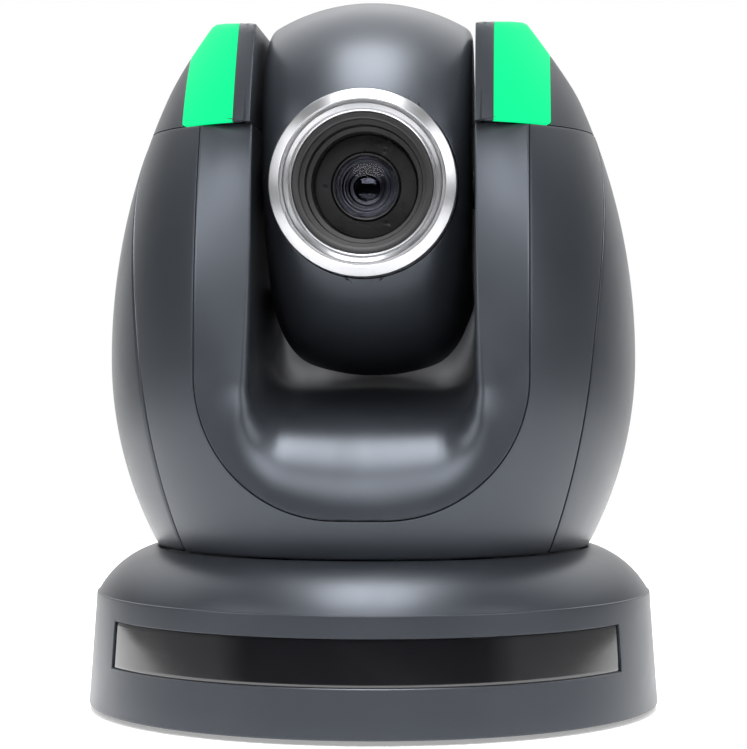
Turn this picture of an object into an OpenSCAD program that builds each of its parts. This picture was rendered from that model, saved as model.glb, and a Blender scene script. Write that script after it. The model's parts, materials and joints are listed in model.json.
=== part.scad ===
// Pan, tilt and zoom camera on a flared round base.
// Origin: mouth of the tripod thread, in the plane of the feet. +Z up, lens towards -Y.

/* [Base] */
// Diameter of the skirt at the feet
base_d = 177.2; // [160:0.2:220]
// How much the skirt narrows from the feet to its rim, on the radius
skirt_taper = 2.5; // [1:0.1:4]
// Height of the skirt's rim
rim_z = 36.6; // [36:0.2:44]
// Radius of the rounded shoulder above the rim
shoulder_r = 28.3; // [20:0.1:34]
// Wall of the base moulding
base_wall = 3; // [2.4:0.1:3.6]
// Height of the foot pads
foot_h = 2; // [1:0.1:3]
// Thickness of the base plate
plate_t = 2.5; // [2:0.1:4]
// Height of the shelf that the turret turns above
deck_z = 47.5; // [46:0.1:52]

/* [Tripod and bracket] */
// Radius of the tripod thread
tripod_r = 3.2; // [3:0.1:5]
// Depth of the tripod thread
tripod_l = 9.5; // [8:0.1:9.5]
// Hole spacing of the ceiling bracket, across
bracket_x = 100; // [80:1:110]
// Hole spacing of the ceiling bracket, front to back
bracket_y = 60; // [50:1:80]
// Radius of the bracket holes
bracket_hole_r = 2.1; // [1.7:0.1:2.6]

/* [Turret] */
// Widest diameter of the turret
turret_d = 163; // [150:1:200]
// Height of its widest place
waist_z = 108; // [100:1:115]
// Radius of the side outline above the waist
upper_r = 196; // [180:1:240]
// Radius of the side outline below the waist
lower_r = 120; // [100:1:145]
// Gap between the base deck and the turret
deck_gap = 3; // [2:0.1:4]
// Wall of the turret mouldings
wall = 2.5; // [2:0.1:3]
// Visible seam between two mouldings
seam = 0.3; // [0.2:0.05:0.5]
// Height of the seam below the arm caps
cap_seam_z = 177.3; // [174:0.1:182]
// Highest point of the arms
arm_top_z = 211.5; // [206:0.5:220]

/* [Head] */
// Diameter of the ball head
head_d = 116; // [100:1:120]
// Width of the head between its flat sides
head_w = 62.4; // [58:0.2:66]
// Height of the tilt axis
tilt_z = 161; // [158:0.5:166]
// Gap between the head's flat sides and the arms
side_gap = 1.4; // [1:0.1:2]
// Outer diameter of the lens ring
ring_d = 55; // [48:0.5:58]
// How far the lens axis lies below the tilt axis
lens_drop = 1.4; // [0:0.1:1.5]

/* [Drives] */
// Radius of the pan pulley
pan_pulley_r = 30; // [25:0.5:33]
// Radius of the pan motor's pulley
pan_pinion_r = 8; // [6:0.5:9]
// Radius of the tilt pulley
tilt_pulley_r = 24; // [20:0.5:26]
// Radius of the tilt motor's pulley
tilt_pinion_r = 8; // [6:0.5:9]
// Outer radius of the pan bearing
pan_bearing_r = 31; // [30:0.5:32]
// Radius of the tilt axles
axle_r = 6; // [5:0.1:7.2]
// Running clearance of a shaft in its bush, on the radius
run_c = 0.05; // [0.02:0.01:0.1]
// Gap between a belt and its pulley
belt_gap = 0.3; // [0.3:0.05:0.5]

/* [Hidden] */
$fn = 72;

// Small length by which a cut runs past the face that it opens.
cut = 1;
// Gap between pieces that are glued or screwed face to face.
fit = 0.05;

// Base outline
base_r = base_d / 2;
skirt_z0 = foot_h - 0.4;
rim_r = base_r - skirt_taper;
rim_step = 0.5;
crest_z = rim_z + 14.6;
shoulder_z = crest_z - shoulder_r;
shoulder_x = rim_r - rim_step - sqrt(pow(shoulder_r, 2) - pow(rim_z - shoulder_z, 2));
plate_z = foot_h;
plate_top = plate_z + plate_t;
function skirt_r(z) = base_r - skirt_taper * (z - skirt_z0) / (rim_z - skirt_z0);

// Front window
window_z0 = 16.2;
window_z1 = 30;
window_angle = 120;
window_recess = 0.5;
window_t = 1.5;
window_ledge = 1.6;

// Turret outline
turret_r = turret_d / 2;
turret_z0 = deck_z + deck_gap;
floor_t = 3;
floor_z1 = turret_z0 + 0.5 + floor_t;
function turret_r_at(z, inset) = z > waist_z
    ? turret_r - upper_r + sqrt(pow(upper_r - inset, 2) - pow(z - waist_z, 2))
    : turret_r - lower_r + sqrt(pow(lower_r - inset, 2) - pow(z - waist_z, 2));
foot_turret_r = turret_r_at(turret_z0, 0);

// Slot, cradle and U edge
slot_h = head_w / 2 + side_gap;
head_r = head_d / 2;
lens_z = tilt_z - lens_drop;
trough_gap = 3.5;
trough_r = head_r + trough_gap;
trough_z = tilt_z - head_r - 7;
shelf_z = tilt_z - 33;
u_half = 48.6;
u_corner = 41.2;
u_bottom = 62.1;
band_r = 236;
band_y = -(turret_r - 17.5);
band_z = waist_z - 3;
lip_slope = 0.1;
u_rim = 1.6;
u_rim_depth = 12;
lip_r = 16;
slot_corner = 8;

// Side covers: the lens shape between two arcs
vesica_r = 104.5;
vesica_y = vesica_r - 47.5;
vesica_z = waist_z - 16;

// Arm caps
cap_wall = 3;
cap_peak_x = turret_r - 33.9;
cap_inner_drop = 2.3;
cap_slope = 1.29;
tally_x0 = slot_h + 5.6;
tally_x1 = turret_r - 26.5;
tally_t = 1.6;
tally_lift = 0.6;
tally_board_z = arm_top_z - 22;
tally_mid_x = (slot_h + turret_r) / 2 - 10.45;

// Pan drive
carrier_z = 36;
carrier_t = 1.5;
bearing_z = carrier_z + carrier_t;
bearing_h = 6;
race_t = 4;
ball_r = 2.2;
bearing_gap = 2.5;
ball_track_r = pan_bearing_r - race_t - bearing_gap / 2;
hub_r = ball_track_r - bearing_gap / 2 - race_t;
hub_bore_r = 12;
pulley_z = 24;
pulley_h = 8;
leg_r = 3.5;
leg_xy = (pan_pulley_r + 11) / sqrt(2);
carrier_r = leg_xy * sqrt(2) + leg_r + 1.5;
collar_r = pan_bearing_r + 3;
deck_hole_r = collar_r + 2;
motor_r = 17.5;
pan_motor_x = -(pan_pulley_r + 22.3);
motor_shaft_r = 2.5;
belt_t = 1.5;

// Tilt drive
upright_x = slot_h + wall + 2.4;
upright_t = 3;
upright_half = 17;
bush_r = axle_r + 5;
bush_flange_r = bush_r + 2;
tilt_pulley_x = upright_x + upright_t + 4;
tilt_pulley_w = 7;
tilt_motor_z = 77;
tilt_motor_r = 14;
tilt_motor_len = 25;

// Head
head_half = head_w / 2;
head_wall = 2.5;
head_split_y = 8;
ring_r = ring_d / 2;
ring_front = -(head_r + 2.5);
ring_seat = -(head_r - 13);
ring_gap = 0.25;
bezel_bore_r = ring_r - 6.75;
block_half = 21;
block_half_z = 21;
block_y0 = -34;
block_y1 = 36;
block_wall = 1.8;
rod_r = 1.5;
rod_x = 14;
bracket_t = 2;
bracket_half = block_half + bracket_t + 1;
bracket_z = block_half_z + 2;
retainer_y = -38;
front_lens_r = 9;

// Connector bay
panel_y = 68;
panel_t = 2;
bay_half = 43.5;
bay_z0 = 9.5;
bay_z1 = 31;
bay_wall = 3;
board_z = 12;
board_t = 1.6;
board_top = board_z + board_t;
socket_y = panel_y + 0.5;
panel_c = 0.2;
sdi_x = -9;
sdi_z = 21;
hdmi_x = 23.5;
lan_x = 7;
serial_x = 37;
dc_x = -36;
dip_x = -23.5;
dip_pitch = 2.54;
lever_w = 1.2;
lever_h = 1.6;
lever_travel = 1.5;
lever_c = 0.15;
dip_z = 22;
dip_face_y = panel_y + 0.4;

// Colours
body_grey = [0.36, 0.38, 0.41];
dark_grey = [0.17, 0.18, 0.2];
black = [0.05, 0.05, 0.06];
steel = [0.72, 0.73, 0.75];
brass = [0.75, 0.6, 0.3];
board_green = [0.05, 0.3, 0.16];
tally_green = [0.1, 1, 0.55];

// ---------------------------------------------------------------- shared shapes

// Hollow or solid round bar along Z.
module ring(r_out, r_in, h) {
    difference() {
        cylinder(r = r_out, h = h);
        translate([0, 0, -cut]) cylinder(r = r_in, h = h + 2 * cut);
    }
}

// Cylinder along X that starts at x.
module bar_x(x, r, len) {
    translate([x, 0, 0]) rotate([0, 90, 0]) cylinder(r = r, h = len);
}

// Cylinder along +Y that starts at y.
module bar_y(y, r, len) {
    translate([0, y, 0]) rotate([-90, 0, 0]) cylinder(r = r, h = len);
}

// Copies the children to the other side of the YZ plane as well.
module both_sides() {
    children();
    mirror([1, 0, 0]) children();
}

// Extrudes a drawing in the (y, z) plane along X, between two places.
module along_x(x0, x1) {
    translate([x0, 0, 0]) rotate([90, 0, 90]) linear_extrude(x1 - x0) children();
}

// Extrudes a drawing in the (x, z) plane along Y, between two places.
module along_y(y0, y1) {
    translate([0, y1, 0]) rotate([90, 0, 0]) linear_extrude(y1 - y0) children();
}

// Round tooth gaps round a pulley.
module tooth_gaps(r, count) {
    for (i = [0 : count - 1]) rotate(360 * i / count) translate([r, 0]) circle(r = 0.7, $fn = 16);
}

// Toothed pulley with a flange at each end, along Z from 0.
module toothed_pulley(r, h, bore, teeth) {
    flange = 1;
    difference() {
        union() {
            linear_extrude(h) difference() {
                circle(r = r);
                tooth_gaps(r, teeth);
            }
            cylinder(r = r + belt_gap + belt_t, h = flange);
            translate([0, 0, h - flange]) cylinder(r = r + belt_gap + belt_t, h = flange);
        }
        translate([0, 0, -cut]) cylinder(r = bore, h = h + 2 * cut);
    }
}

// Solid tight loop round two circles, the second one at distance d along X.
module loop_form(r0, r1, d, h) {
    c = (r0 - r1) / d;
    s = sqrt(1 - c * c);
    // The straight runs lie a hair inside the tangents, so that they cross both circles.
    a = r0 - 0.02;
    b = r1 - 0.02;
    cylinder(r = r0, h = h);
    translate([d, 0, 0]) cylinder(r = r1, h = h);
    linear_extrude(h) polygon([[a * c, a * s], [d + b * c, b * s], [d + b * c, -b * s], [a * c, -a * s]]);
}

// Belt round two pulleys, along Z from 0.
module belt(r0, r1, d, h) {
    inner = belt_gap;
    difference() {
        loop_form(r0 + inner + belt_t, r1 + inner + belt_t, d, h);
        translate([0, 0, -cut]) loop_form(r0 + inner, r1 + inner, d, h + 2 * cut);
    }
}

// Pan head screw along -Z, with its head's underside at 0.
module screw(r, len, head_r, head_h) {
    translate([0, 0, -len]) cylinder(r = r, h = len);
    difference() {
        cylinder(r = head_r, h = head_h);
        translate([-head_r, -0.3, head_h - 0.5]) cube([2 * head_r, 0.6, 1]);
    }
}

// ---------------------------------------------------------------- base

// Outer shape of the base moulding, moved inwards by inset.
module base_form(inset) {
    rotate_extrude($fn = 96) {
        polygon([
            [0, skirt_z0 - (inset > 0 ? cut : 0)],
            [base_r - inset, skirt_z0 - (inset > 0 ? cut : 0)],
            [rim_r - inset, rim_z - inset],
            [0, rim_z - inset]
        ]);
        intersection() {
            union() {
                translate([shoulder_x, shoulder_z]) circle(r = shoulder_r - inset, $fn = 96);
                square([shoulder_x, crest_z - inset]);
            }
            translate([0, rim_z - inset]) square([base_r, crest_z]);
        }
    }
}

// Band of the skirt between two heights, from depth d0 to depth d1 below its face.
module skirt_band(z0, z1, d0, d1, angle) {
    rotate([0, 0, 270 - angle / 2]) rotate_extrude(angle = angle, $fn = 96) polygon([
        [skirt_r(z0) - d1, z0], [skirt_r(z0) - d0, z0], [skirt_r(z1) - d0, z1], [skirt_r(z1) - d1, z1]
    ]);
}

// Places on the base plate that repeat in four corners.
module four(x, y) {
    for (sx = [-1, 1], sy = [-1, 1]) translate([sx * x, sy * y, 0]) children();
}

boss_ring_r = base_r - 12.024;
boss_turn = 40.764;
boss_x = boss_ring_r * cos(boss_turn);
boss_y = boss_ring_r * sin(boss_turn);
boss_r = 4;
screw_r = 1.5;
pilot_c = 0.05;
post_x = 40;
post_y0 = 42;
post_y1 = 60;
tripod_boss_r = 9;
tripod_pad_r = 17;
bush_wall = 1.8;

module base_plate() {
    color(dark_grey) difference() {
        union() {
            translate([0, 0, plate_z]) cylinder(r = base_r - base_wall - 0.6, h = plate_t, $fn = 96);
            cylinder(r = tripod_pad_r, h = plate_z + 0.1);
            cylinder(r = tripod_boss_r, h = tripod_l + 1.5);
            for (sx = [-1, 1], y = [post_y0, post_y1])
                translate([sx * post_x, y, plate_z]) cylinder(r = 3, h = board_z - plate_z - fit);
        }
        translate([0, 0, -cut]) cylinder(r = tripod_r + bush_wall, h = tripod_l + cut + fit);
        four(bracket_x / 2, bracket_y / 2) cylinder(r = bracket_hole_r, h = plate_top + cut);
        four(boss_x, boss_y) {
            cylinder(r = screw_r + 0.3, h = plate_top + cut);
            cylinder(r = 3.4, h = plate_z + 1.2);
        }
    }
}

module tripod_bush() {
    color(brass) ring(tripod_r + bush_wall - fit, tripod_r, tripod_l);
}

pad_x = base_r - 48.6;
pad_y = base_r - 33.6;
pad_r = 6;

module foot_pads() {
    color(black) four(pad_x, pad_y) cylinder(r = pad_r, h = foot_h - fit / 5);
}

module base_housing() {
    bay_front = panel_y + fit;
    color(body_grey) difference() {
        union() {
            difference() {
                base_form(0);
                base_form(base_wall);
            }
            intersection() {
                base_form(0.1);
                translate([-bay_half - bay_wall, bay_front, bay_z0 - bay_wall])
                    cube([2 * (bay_half + bay_wall), base_r, bay_z1 - bay_z0 + 2 * bay_wall]);
            }
            intersection() {
                base_form(0.1);
                four(boss_x, boss_y) translate([0, 0, plate_top + fit]) cylinder(r = boss_r, h = deck_z);
            }
        }
        // Shelf below the turret, and the hole that the hub goes through.
        translate([0, 0, deck_z]) cylinder(r = foot_turret_r + 0.8, h = crest_z, $fn = 96);
        cylinder(r = deck_hole_r, h = crest_z);
        // Connector bay.
        translate([-bay_half, panel_y - cut, bay_z0]) cube([2 * bay_half, base_r, bay_z1 - bay_z0]);
        // Window seat and the opening behind it.
        skirt_band(window_z0, window_z1, -cut, window_recess + window_t, window_angle);
        skirt_band(window_z0 + window_ledge, window_z1 - window_ledge, 0, base_wall + cut,
            window_angle - 4);
        four(boss_x, boss_y) cylinder(r = screw_r + pilot_c, h = 16);
    }
    // Deck that closes the top under the turret, with the rim that joins it to the shoulder.
    color(body_grey) translate([0, 0, deck_z - base_wall]) difference() {
        cylinder(r = foot_turret_r + 1.6, h = crest_z - deck_z + 0.5, $fn = 96);
        translate([0, 0, base_wall]) cylinder(r = foot_turret_r + 0.8, h = crest_z, $fn = 96);
        translate([0, 0, -cut]) cylinder(r = deck_hole_r, h = base_wall + 2 * cut);
    }
}

module ir_window() {
    c = 0.1;
    color(black) skirt_band(window_z0 + c, window_z1 - c, window_recess, window_recess + window_t - fit,
        window_angle - 0.2);
}

module ir_receiver_board() {
    y = -(base_r - 9.2);
    w = 44;
    eye_w = 8;
    eye_t = 3.5;
    mid_z = (window_z0 + window_z1) / 2;
    color(board_green) translate([-w / 2, y, mid_z - 8]) cube([w, board_t, 16]);
    color(black) {
        translate([-eye_w / 2, y - eye_t, mid_z - 3]) cube([eye_w, eye_t - fit, 7]);
        // Two status lamps beside the receiver.
        for (x = [12, 17]) translate([x, y - fit, mid_z]) rotate([90, 0, 0]) cylinder(r = 1.5, h = 3);
    }
}

panel_half = bay_half + 2.5;
panel_drop = 2;
// Height of each socket's middle, and the size of its face in the panel.
dc_z = 19;
dc_face = [9, 11];
dip_face = [11.7, 7];
lan_z = 20.6;
lan_face = [16, 13.6];
hdmi_z = 17.4;
hdmi_face = [15.2, 6];
serial_z = 20.6;
round_face_r = 5;

module rear_panel() {
    c = panel_c;
    color(dark_grey) difference() {
        translate([-panel_half, panel_y - panel_t, bay_z0 - panel_drop])
            cube([2 * panel_half, panel_t, bay_z1 - bay_z0 + 2 * panel_drop]);
        translate([dc_x, 0, dc_z]) cutout(dc_face, c);
        translate([dip_x, 0, dip_z]) cutout(dip_face, c);
        translate([lan_x, 0, lan_z]) cutout(lan_face, c);
        translate([hdmi_x, 0, hdmi_z]) cutout(hdmi_face, c);
        translate([sdi_x, 0, sdi_z]) bar_y(panel_y - panel_t - cut, round_face_r + c, panel_t + 2 * cut);
        translate([serial_x, 0, serial_z]) bar_y(panel_y - panel_t - cut, round_face_r + c, panel_t + 2 * cut);
    }
}

// Opening in the rear panel for a face of that width and height, with clearance c.
module cutout(face, c) {
    translate([-face[0] / 2 - c, panel_y - panel_t - cut, -face[1] / 2 - c])
        cube([face[0] + 2 * c, panel_t + 2 * cut, face[1] + 2 * c]);
}

module base_board() {
    half = 50;
    front = 36;
    back = panel_y - panel_t - panel_c;
    color(board_green) intersection() {
        translate([0, 0, board_z]) cylinder(r = base_r - 8.6, h = board_t);
        translate([-half, front, board_z]) cube([2 * half, back - front, board_t]);
    }
    // Two chips, three capacitors and a power coil.
    color(black) {
        translate([-34, front + 3, board_top]) cube([12, 12, 1.6]);
        translate([10, front + 2, board_top]) cube([14, 14, 1.8]);
        for (x = [-12, -4, 4]) translate([x, front + 7, board_top]) cylinder(r = 3, h = 8);
        translate([32, front + 5, board_top]) cube([9, 9, 5]);
    }
}

// Boxed back of a socket that stands on the board behind the panel, from depth y0.
module socket_back(x, w, y0, h) {
    translate([x - w / 2, y0, board_top + 0.1]) cube([w, panel_y - panel_t - 0.3 - y0, h]);
}

// Bayonet coaxial jack: body, nut, sleeve with two lugs, and centre contact.
module sdi_jack() {
    sleeve_r = 4.8;
    bore_r = 3.6;
    lug_reach = 5.8;
    color(steel) difference() {
        union() {
            socket_back(sdi_x, 12, 56, 13.4);
            translate([sdi_x, 0, sdi_z]) {
                bar_y(panel_y - panel_t - cut, sleeve_r, 12);
                bar_y(panel_y + fit, 6.4, 1.6);
                translate([0, panel_y + 7.5, -lug_reach]) cylinder(r = 1, h = 2 * lug_reach);
            }
        }
        translate([sdi_x, 0, sdi_z]) bar_y(panel_y + 2, bore_r, 20);
    }
    color(brass) translate([sdi_x, 0, sdi_z]) bar_y(panel_y + 1.9, 0.7, 6);
}

// Box-shaped socket on the board, with its mouth at the panel.
module socket_box(x, z, size, mouth) {
    difference() {
        translate([x - size[0] / 2, socket_y - size[1], z - size[2] / 2]) cube(size);
        translate([x - mouth[0] / 2, socket_y - mouth[1], z - mouth[2] / 2])
            cube([mouth[0], mouth[1] + cut, mouth[2]]);
    }
}

module hdmi_socket() {
    tongue = [12, 7, 1];
    color(steel) socket_box(hdmi_x, hdmi_z, [15, 11, 5.8], [14, 9, 4.6]);
    color(black) translate([hdmi_x - tongue[0] / 2, socket_y - 9.1, hdmi_z - tongue[2] / 2]) cube(tongue);
}

module lan_socket() {
    pin = [0.3, 6, 1.5];
    pitch = 1.02;
    mouth = [11.8, 12.5, 8.2];
    color(steel) socket_box(lan_x, lan_z, [15.8, 15, 13.4], mouth);
    color(brass) for (i = [-3.5 : 3.5])
        translate([lan_x + i * pitch - pin[0] / 2, socket_y - mouth[1] - 0.1, lan_z + mouth[2] / 2 - pin[2] + 0.1])
            cube(pin);
}

// Round eight contact serial socket.
module serial_socket() {
    start = 60;
    bore_r = 4.2;
    bore_depth = 7;
    pin_ring_r = 2.7;
    color(black) difference() {
        union() {
            socket_back(serial_x, 11, 57, 12.4);
            translate([serial_x, 0, serial_z]) bar_y(start, round_face_r - 0.05, socket_y - start);
        }
        translate([serial_x, 0, serial_z]) bar_y(socket_y - bore_depth, bore_r, bore_depth + cut);
    }
    color(brass) translate([serial_x, 0, serial_z]) for (a = [0 : 45 : 315])
        rotate([0, a, 0]) translate([pin_ring_r, 0, 0]) bar_y(socket_y - bore_depth - 0.1, 0.4, 5);
}

// Barrel power jack with its centre pin.
module dc_jack() {
    bore_r = 2.8;
    bore_depth = 10;
    w = dc_face[0] - 0.2;
    color(black) difference() {
        translate([dc_x - w / 2, socket_y - 14, board_top + 0.1]) cube([w, 14, 10.7]);
        translate([dc_x, 0, dc_z]) bar_y(socket_y - bore_depth, bore_r, bore_depth + cut);
    }
    color(steel) translate([dc_x, 0, dc_z]) bar_y(socket_y - bore_depth - 0.1, 1, bore_depth - 1);
}

slot_drop = lever_travel + lever_h + 2 * lever_c;

module dip_switch_body() {
    body = [11.5, 5, 6.8];
    color([0.12, 0.22, 0.5]) difference() {
        translate([dip_x - body[0] / 2, dip_face_y - body[1], dip_z - body[2] / 2]) cube(body);
        for (i = [0 : 3]) translate([
            dip_x + (i - 1.5) * dip_pitch - lever_w / 2 - lever_c, dip_face_y - 2.5, dip_z - slot_drop / 2
        ]) cube([lever_w + 2 * lever_c, 4, slot_drop]);
    }
    // Legs down to the board.
    color(steel) for (i = [0 : 3])
        translate([dip_x + (i - 1.5) * dip_pitch, dip_face_y - 3.4, board_top + fit])
            cylinder(r = 0.3, h = dip_z - body[2] / 2 - board_top);
}

// Lever number i, at the lower end of its travel.
module dip_lever(i) {
    color("white") translate([
        dip_x + (i - 2.5) * dip_pitch - lever_w / 2, dip_face_y - 2.5 + lever_c,
        dip_z - slot_drop / 2 + lever_c
    ]) cube([lever_w, 3.1, lever_h]);
}

module dip_lever_1() { dip_lever(1); }
module dip_lever_2() { dip_lever(2); }
module dip_lever_3() { dip_lever(3); }
module dip_lever_4() { dip_lever(4); }

module base_screws() {
    color(steel) four(boss_x, boss_y) translate([0, 0, plate_z + 1.15]) mirror([0, 0, 1])
        screw(screw_r, 11, 2 * screw_r + 0.1, 1);
}

// ---------------------------------------------------------------- pan drive

module pan_carrier() {
    color(steel) difference() {
        union() {
            translate([0, 0, carrier_z]) cylinder(r = carrier_r, h = 3);
            translate([0, 0, carrier_z]) cylinder(r = collar_r, h = carrier_t + bearing_h);
            four(leg_xy, leg_xy) translate([0, 0, plate_top + fit])
                cylinder(r = leg_r, h = carrier_z - plate_top);
        }
        translate([0, 0, bearing_z]) cylinder(r = pan_bearing_r + fit / 2, h = bearing_h + cut);
        cylinder(r = pan_bearing_r - 3.5, h = carrier_z + 10);
    }
}

// Groove that the balls run in.
module ball_track(r) {
    translate([0, 0, bearing_z + bearing_h / 2]) rotate_extrude() translate([ball_track_r, 0]) circle(r = r);
}

module pan_bearing_outer() {
    color(steel) difference() {
        translate([0, 0, bearing_z + fit / 2])
            ring(pan_bearing_r, pan_bearing_r - race_t, bearing_h - fit / 2);
        ball_track(ball_r + run_c);
    }
}

module pan_bearing_inner() {
    color(steel) difference() {
        translate([0, 0, bearing_z]) ring(hub_r + race_t, hub_r, bearing_h);
        ball_track(ball_r + run_c);
    }
}

module pan_bearing_balls() {
    count = 24;
    color(steel) for (i = [0 : count - 1]) rotate([0, 0, 360 * i / count])
        translate([ball_track_r, 0, bearing_z + bearing_h / 2]) sphere(r = ball_r, $fn = 24);
}

module pan_hub() {
    flange_r = deck_hole_r - 6;
    color(steel) difference() {
        union() {
            translate([0, 0, pulley_z + pulley_h + fit])
                cylinder(r = hub_r - fit / 2, h = turret_z0 - pulley_z - pulley_h);
            // Shoulder that clamps the inner race.
            translate([0, 0, bearing_z + bearing_h + fit])
                cylinder(r = hub_r + 2.5, h = turret_z0 + 0.4 - bearing_z - bearing_h);
            translate([0, 0, deck_z + 0.4]) cylinder(r = flange_r, h = turret_z0 - deck_z + 0.05);
        }
        cylinder(r = hub_bore_r, h = turret_z0 + 5);
    }
}

module pan_pulley() {
    teeth = 60;
    color(black) translate([0, 0, pulley_z]) toothed_pulley(pan_pulley_r, pulley_h, hub_bore_r, teeth);
}

module pan_motor() {
    top = pulley_z - 2;
    plug = [16, 4.5, 7];
    color(dark_grey) translate([pan_motor_x, 0, 0]) {
        translate([0, 0, plate_top + fit]) cylinder(r = motor_r, h = top - plate_top - fit);
        translate([0, 0, top - fit]) cylinder(r = 5, h = 1);
        translate([-plug[0] / 2, motor_r - 2, plate_top + 2]) cube(plug);
    }
    color(steel) translate([pan_motor_x, 0, top]) cylinder(r = motor_shaft_r, h = pulley_h + 3);
}

module pan_motor_pulley() {
    teeth = 16;
    color(steel) translate([pan_motor_x, 0, pulley_z])
        toothed_pulley(pan_pinion_r, pulley_h, motor_shaft_r + run_c, teeth);
}

module pan_belt() {
    color(black) translate([0, 0, pulley_z + 1.3]) rotate([0, 0, 180])
        belt(pan_pulley_r, pan_pinion_r, -pan_motor_x, pulley_h - 2.6);
}

harness_r = 4;
harness_branch_r = 3;
harness_plug = [12, 10, 5];

module hub_harness() {
    plug_z = board_top + 1;
    branch_z = floor_z1 + harness_branch_r;
    color(black) {
        translate([0, 0, plug_z + 1]) cylinder(r = harness_r, h = branch_z + harness_r - plug_z);
        translate([0, 0, branch_z]) bar_y(0, harness_branch_r, 22);
    }
    color("white") translate([-harness_plug[0] / 2, -harness_plug[1] / 2, plug_z]) cube(harness_plug);
}

// ---------------------------------------------------------------- turret

// Egg-shaped body of the turret, moved inwards by inset.
module turret_form(inset) {
    top = waist_z + 110;
    bottom = inset > 0 ? turret_z0 - cut : turret_z0;
    rotate_extrude($fn = 96) {
        intersection() {
            translate([turret_r - upper_r, waist_z]) circle(r = upper_r - inset, $fn = 180);
            translate([0, waist_z]) square([turret_r, top - waist_z]);
        }
        intersection() {
            translate([turret_r - lower_r, waist_z]) circle(r = lower_r - inset, $fn = 180);
            translate([0, bottom]) square([turret_r, waist_z - bottom]);
        }
    }
}

// Shell of the turret from its floor up to the seam below the caps.
module turret_shell() {
    difference() {
        turret_form(0);
        turret_form(wall);
        translate([-turret_d, -turret_d, cap_seam_z]) cube([2 * turret_d, 2 * turret_d, turret_d]);
    }
}

// U outline in the (x, z) plane, moved outwards by grow.
module u_outline(half, corner, bottom, grow) {
    r = corner + grow;
    x = half - corner;
    z = bottom + corner;
    top = arm_top_z + 20;
    for (s = [-1, 1]) translate([s * x, z]) circle(r = r, $fn = 96);
    translate([-x, z - r]) square([2 * x, top - z + r]);
    translate([-half - grow, z]) square([2 * (half + grow), top - z]);
}

// Lens-shaped outline of a side cover in the (y, z) plane, moved outwards by grow.
module vesica(grow) {
    intersection() {
        translate([vesica_y, vesica_z]) circle(r = vesica_r + grow, $fn = 120);
        translate([-vesica_y, vesica_z]) circle(r = vesica_r + grow, $fn = 120);
    }
}

// Space in front of the arms' forward faces, in the (y, z) plane. Grow moves it backwards.
module band_space(grow) {
    far = -turret_d;
    low = u_bottom - 4;
    difference() {
        translate([far, band_z]) square([-far + grow, 2 * waist_z - band_z]);
        translate([band_y + band_r + grow, band_z]) circle(r = band_r, $fn = 240);
        translate([band_y + band_r / 2, band_z]) square([turret_d, 2 * waist_z]);
    }
    drop = band_z - low;
    polygon([[far, low], [band_y - drop * lip_slope + grow, low], [band_y + grow, band_z], [far, band_z]]);
}

// Space for the head between the arms, in the (y, z) plane. Grow makes it larger.
module head_space(grow) {
    far = turret_d;
    floor_z = trough_z - grow;
    lip_y = band_y - (band_z - trough_z) * lip_slope + grow;
    translate([0, tilt_z]) circle(r = trough_r + grow, $fn = 120);
    translate([-far, floor_z]) square([far, far]);
    translate([-1, shelf_z - grow]) square([far, far]);
    // Rounded lip in front of the trough.
    difference() {
        translate([lip_y - 4, floor_z - lip_r]) square([lip_r + 4, lip_r + 0.1]);
        translate([lip_y + lip_r, floor_z - lip_r]) circle(r = lip_r, $fn = 72);
    }
}

// Everything that the cradle leaves open, grown by a wall where grow is above 0.
module cradle_space(grow) {
    h = slot_h + grow;
    intersection() {
        along_x(-h, h) head_space(grow);
        union() {
            along_y(-turret_d, 0.1) u_outline(h, slot_corner + grow, trough_z - grow - lip_r, 0);
            along_y(0, turret_d) translate([-h, trough_z - 10]) square([2 * h, turret_d]);
        }
    }
    intersection() {
        along_x(-u_half, u_half) band_space(grow);
        along_y(-turret_d, 0) u_outline(u_half, u_corner, u_bottom, grow > 0 ? -seam / 2 : 1);
    }
}

// Rim along the U edge that lies flush with the front cover.
module cradle_rim() {
    along_y(-turret_d, -turret_r + 2 * u_rim_depth) difference() {
        u_outline(u_half, u_corner, u_bottom, -seam / 2);
        u_outline(u_half, u_corner, u_bottom, -seam / 2 - u_rim);
    }
}

module cradle() {
    color(body_grey) difference() {
        intersection() {
            union() {
                cradle_space(wall);
                difference() {
                    cradle_rim();
                    turret_form(u_rim_depth);
                }
            }
            turret_form(0);
            translate([-turret_d, -turret_d, u_bottom - 1])
                cube([2 * turret_d, 2 * turret_d, cap_seam_z - seam / 2 - u_bottom + 1]);
        }
        cradle_space(0);
        translate([0, 0, tilt_z]) bar_x(-turret_r, axle_r + 2, turret_d);
    }
}

module front_cover() {
    color(body_grey) difference() {
        turret_shell();
        translate([-turret_d, 0, 0]) cube([2 * turret_d, turret_d, 2 * turret_d]);
        along_x(-turret_d, turret_d) vesica(seam / 2);
        along_y(-turret_d, 0) u_outline(u_half, u_corner, u_bottom, seam / 2);
    }
}

vent_count = 11;
vent_pitch = 6;
vent_z0 = 66;
vent_h = 22;

module rear_cover() {
    h = slot_h + wall + seam / 2;
    color(body_grey) difference() {
        turret_shell();
        translate([-turret_d, -turret_d, 0]) cube([2 * turret_d, turret_d, 2 * turret_d]);
        along_x(-turret_d, turret_d) vesica(seam / 2);
        translate([-h, 0, shelf_z - wall - seam / 2]) cube([2 * h, turret_d, turret_d]);
        for (i = [0 : vent_count - 1])
            rotate([0, 0, (i - (vent_count - 1) / 2) * vent_pitch])
                translate([-1.1, turret_r - 20, vent_z0]) cube([2.2, 30, vent_h]);
    }
}

// Side cover on the +X side.
module side_cover() {
    difference() {
        intersection() {
            turret_shell();
            along_x(0, turret_d) vesica(-seam / 2);
        }
        translate([0, -turret_r, cap_seam_z - seam]) cube([turret_d, turret_d, turret_r]);
    }
}

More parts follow.
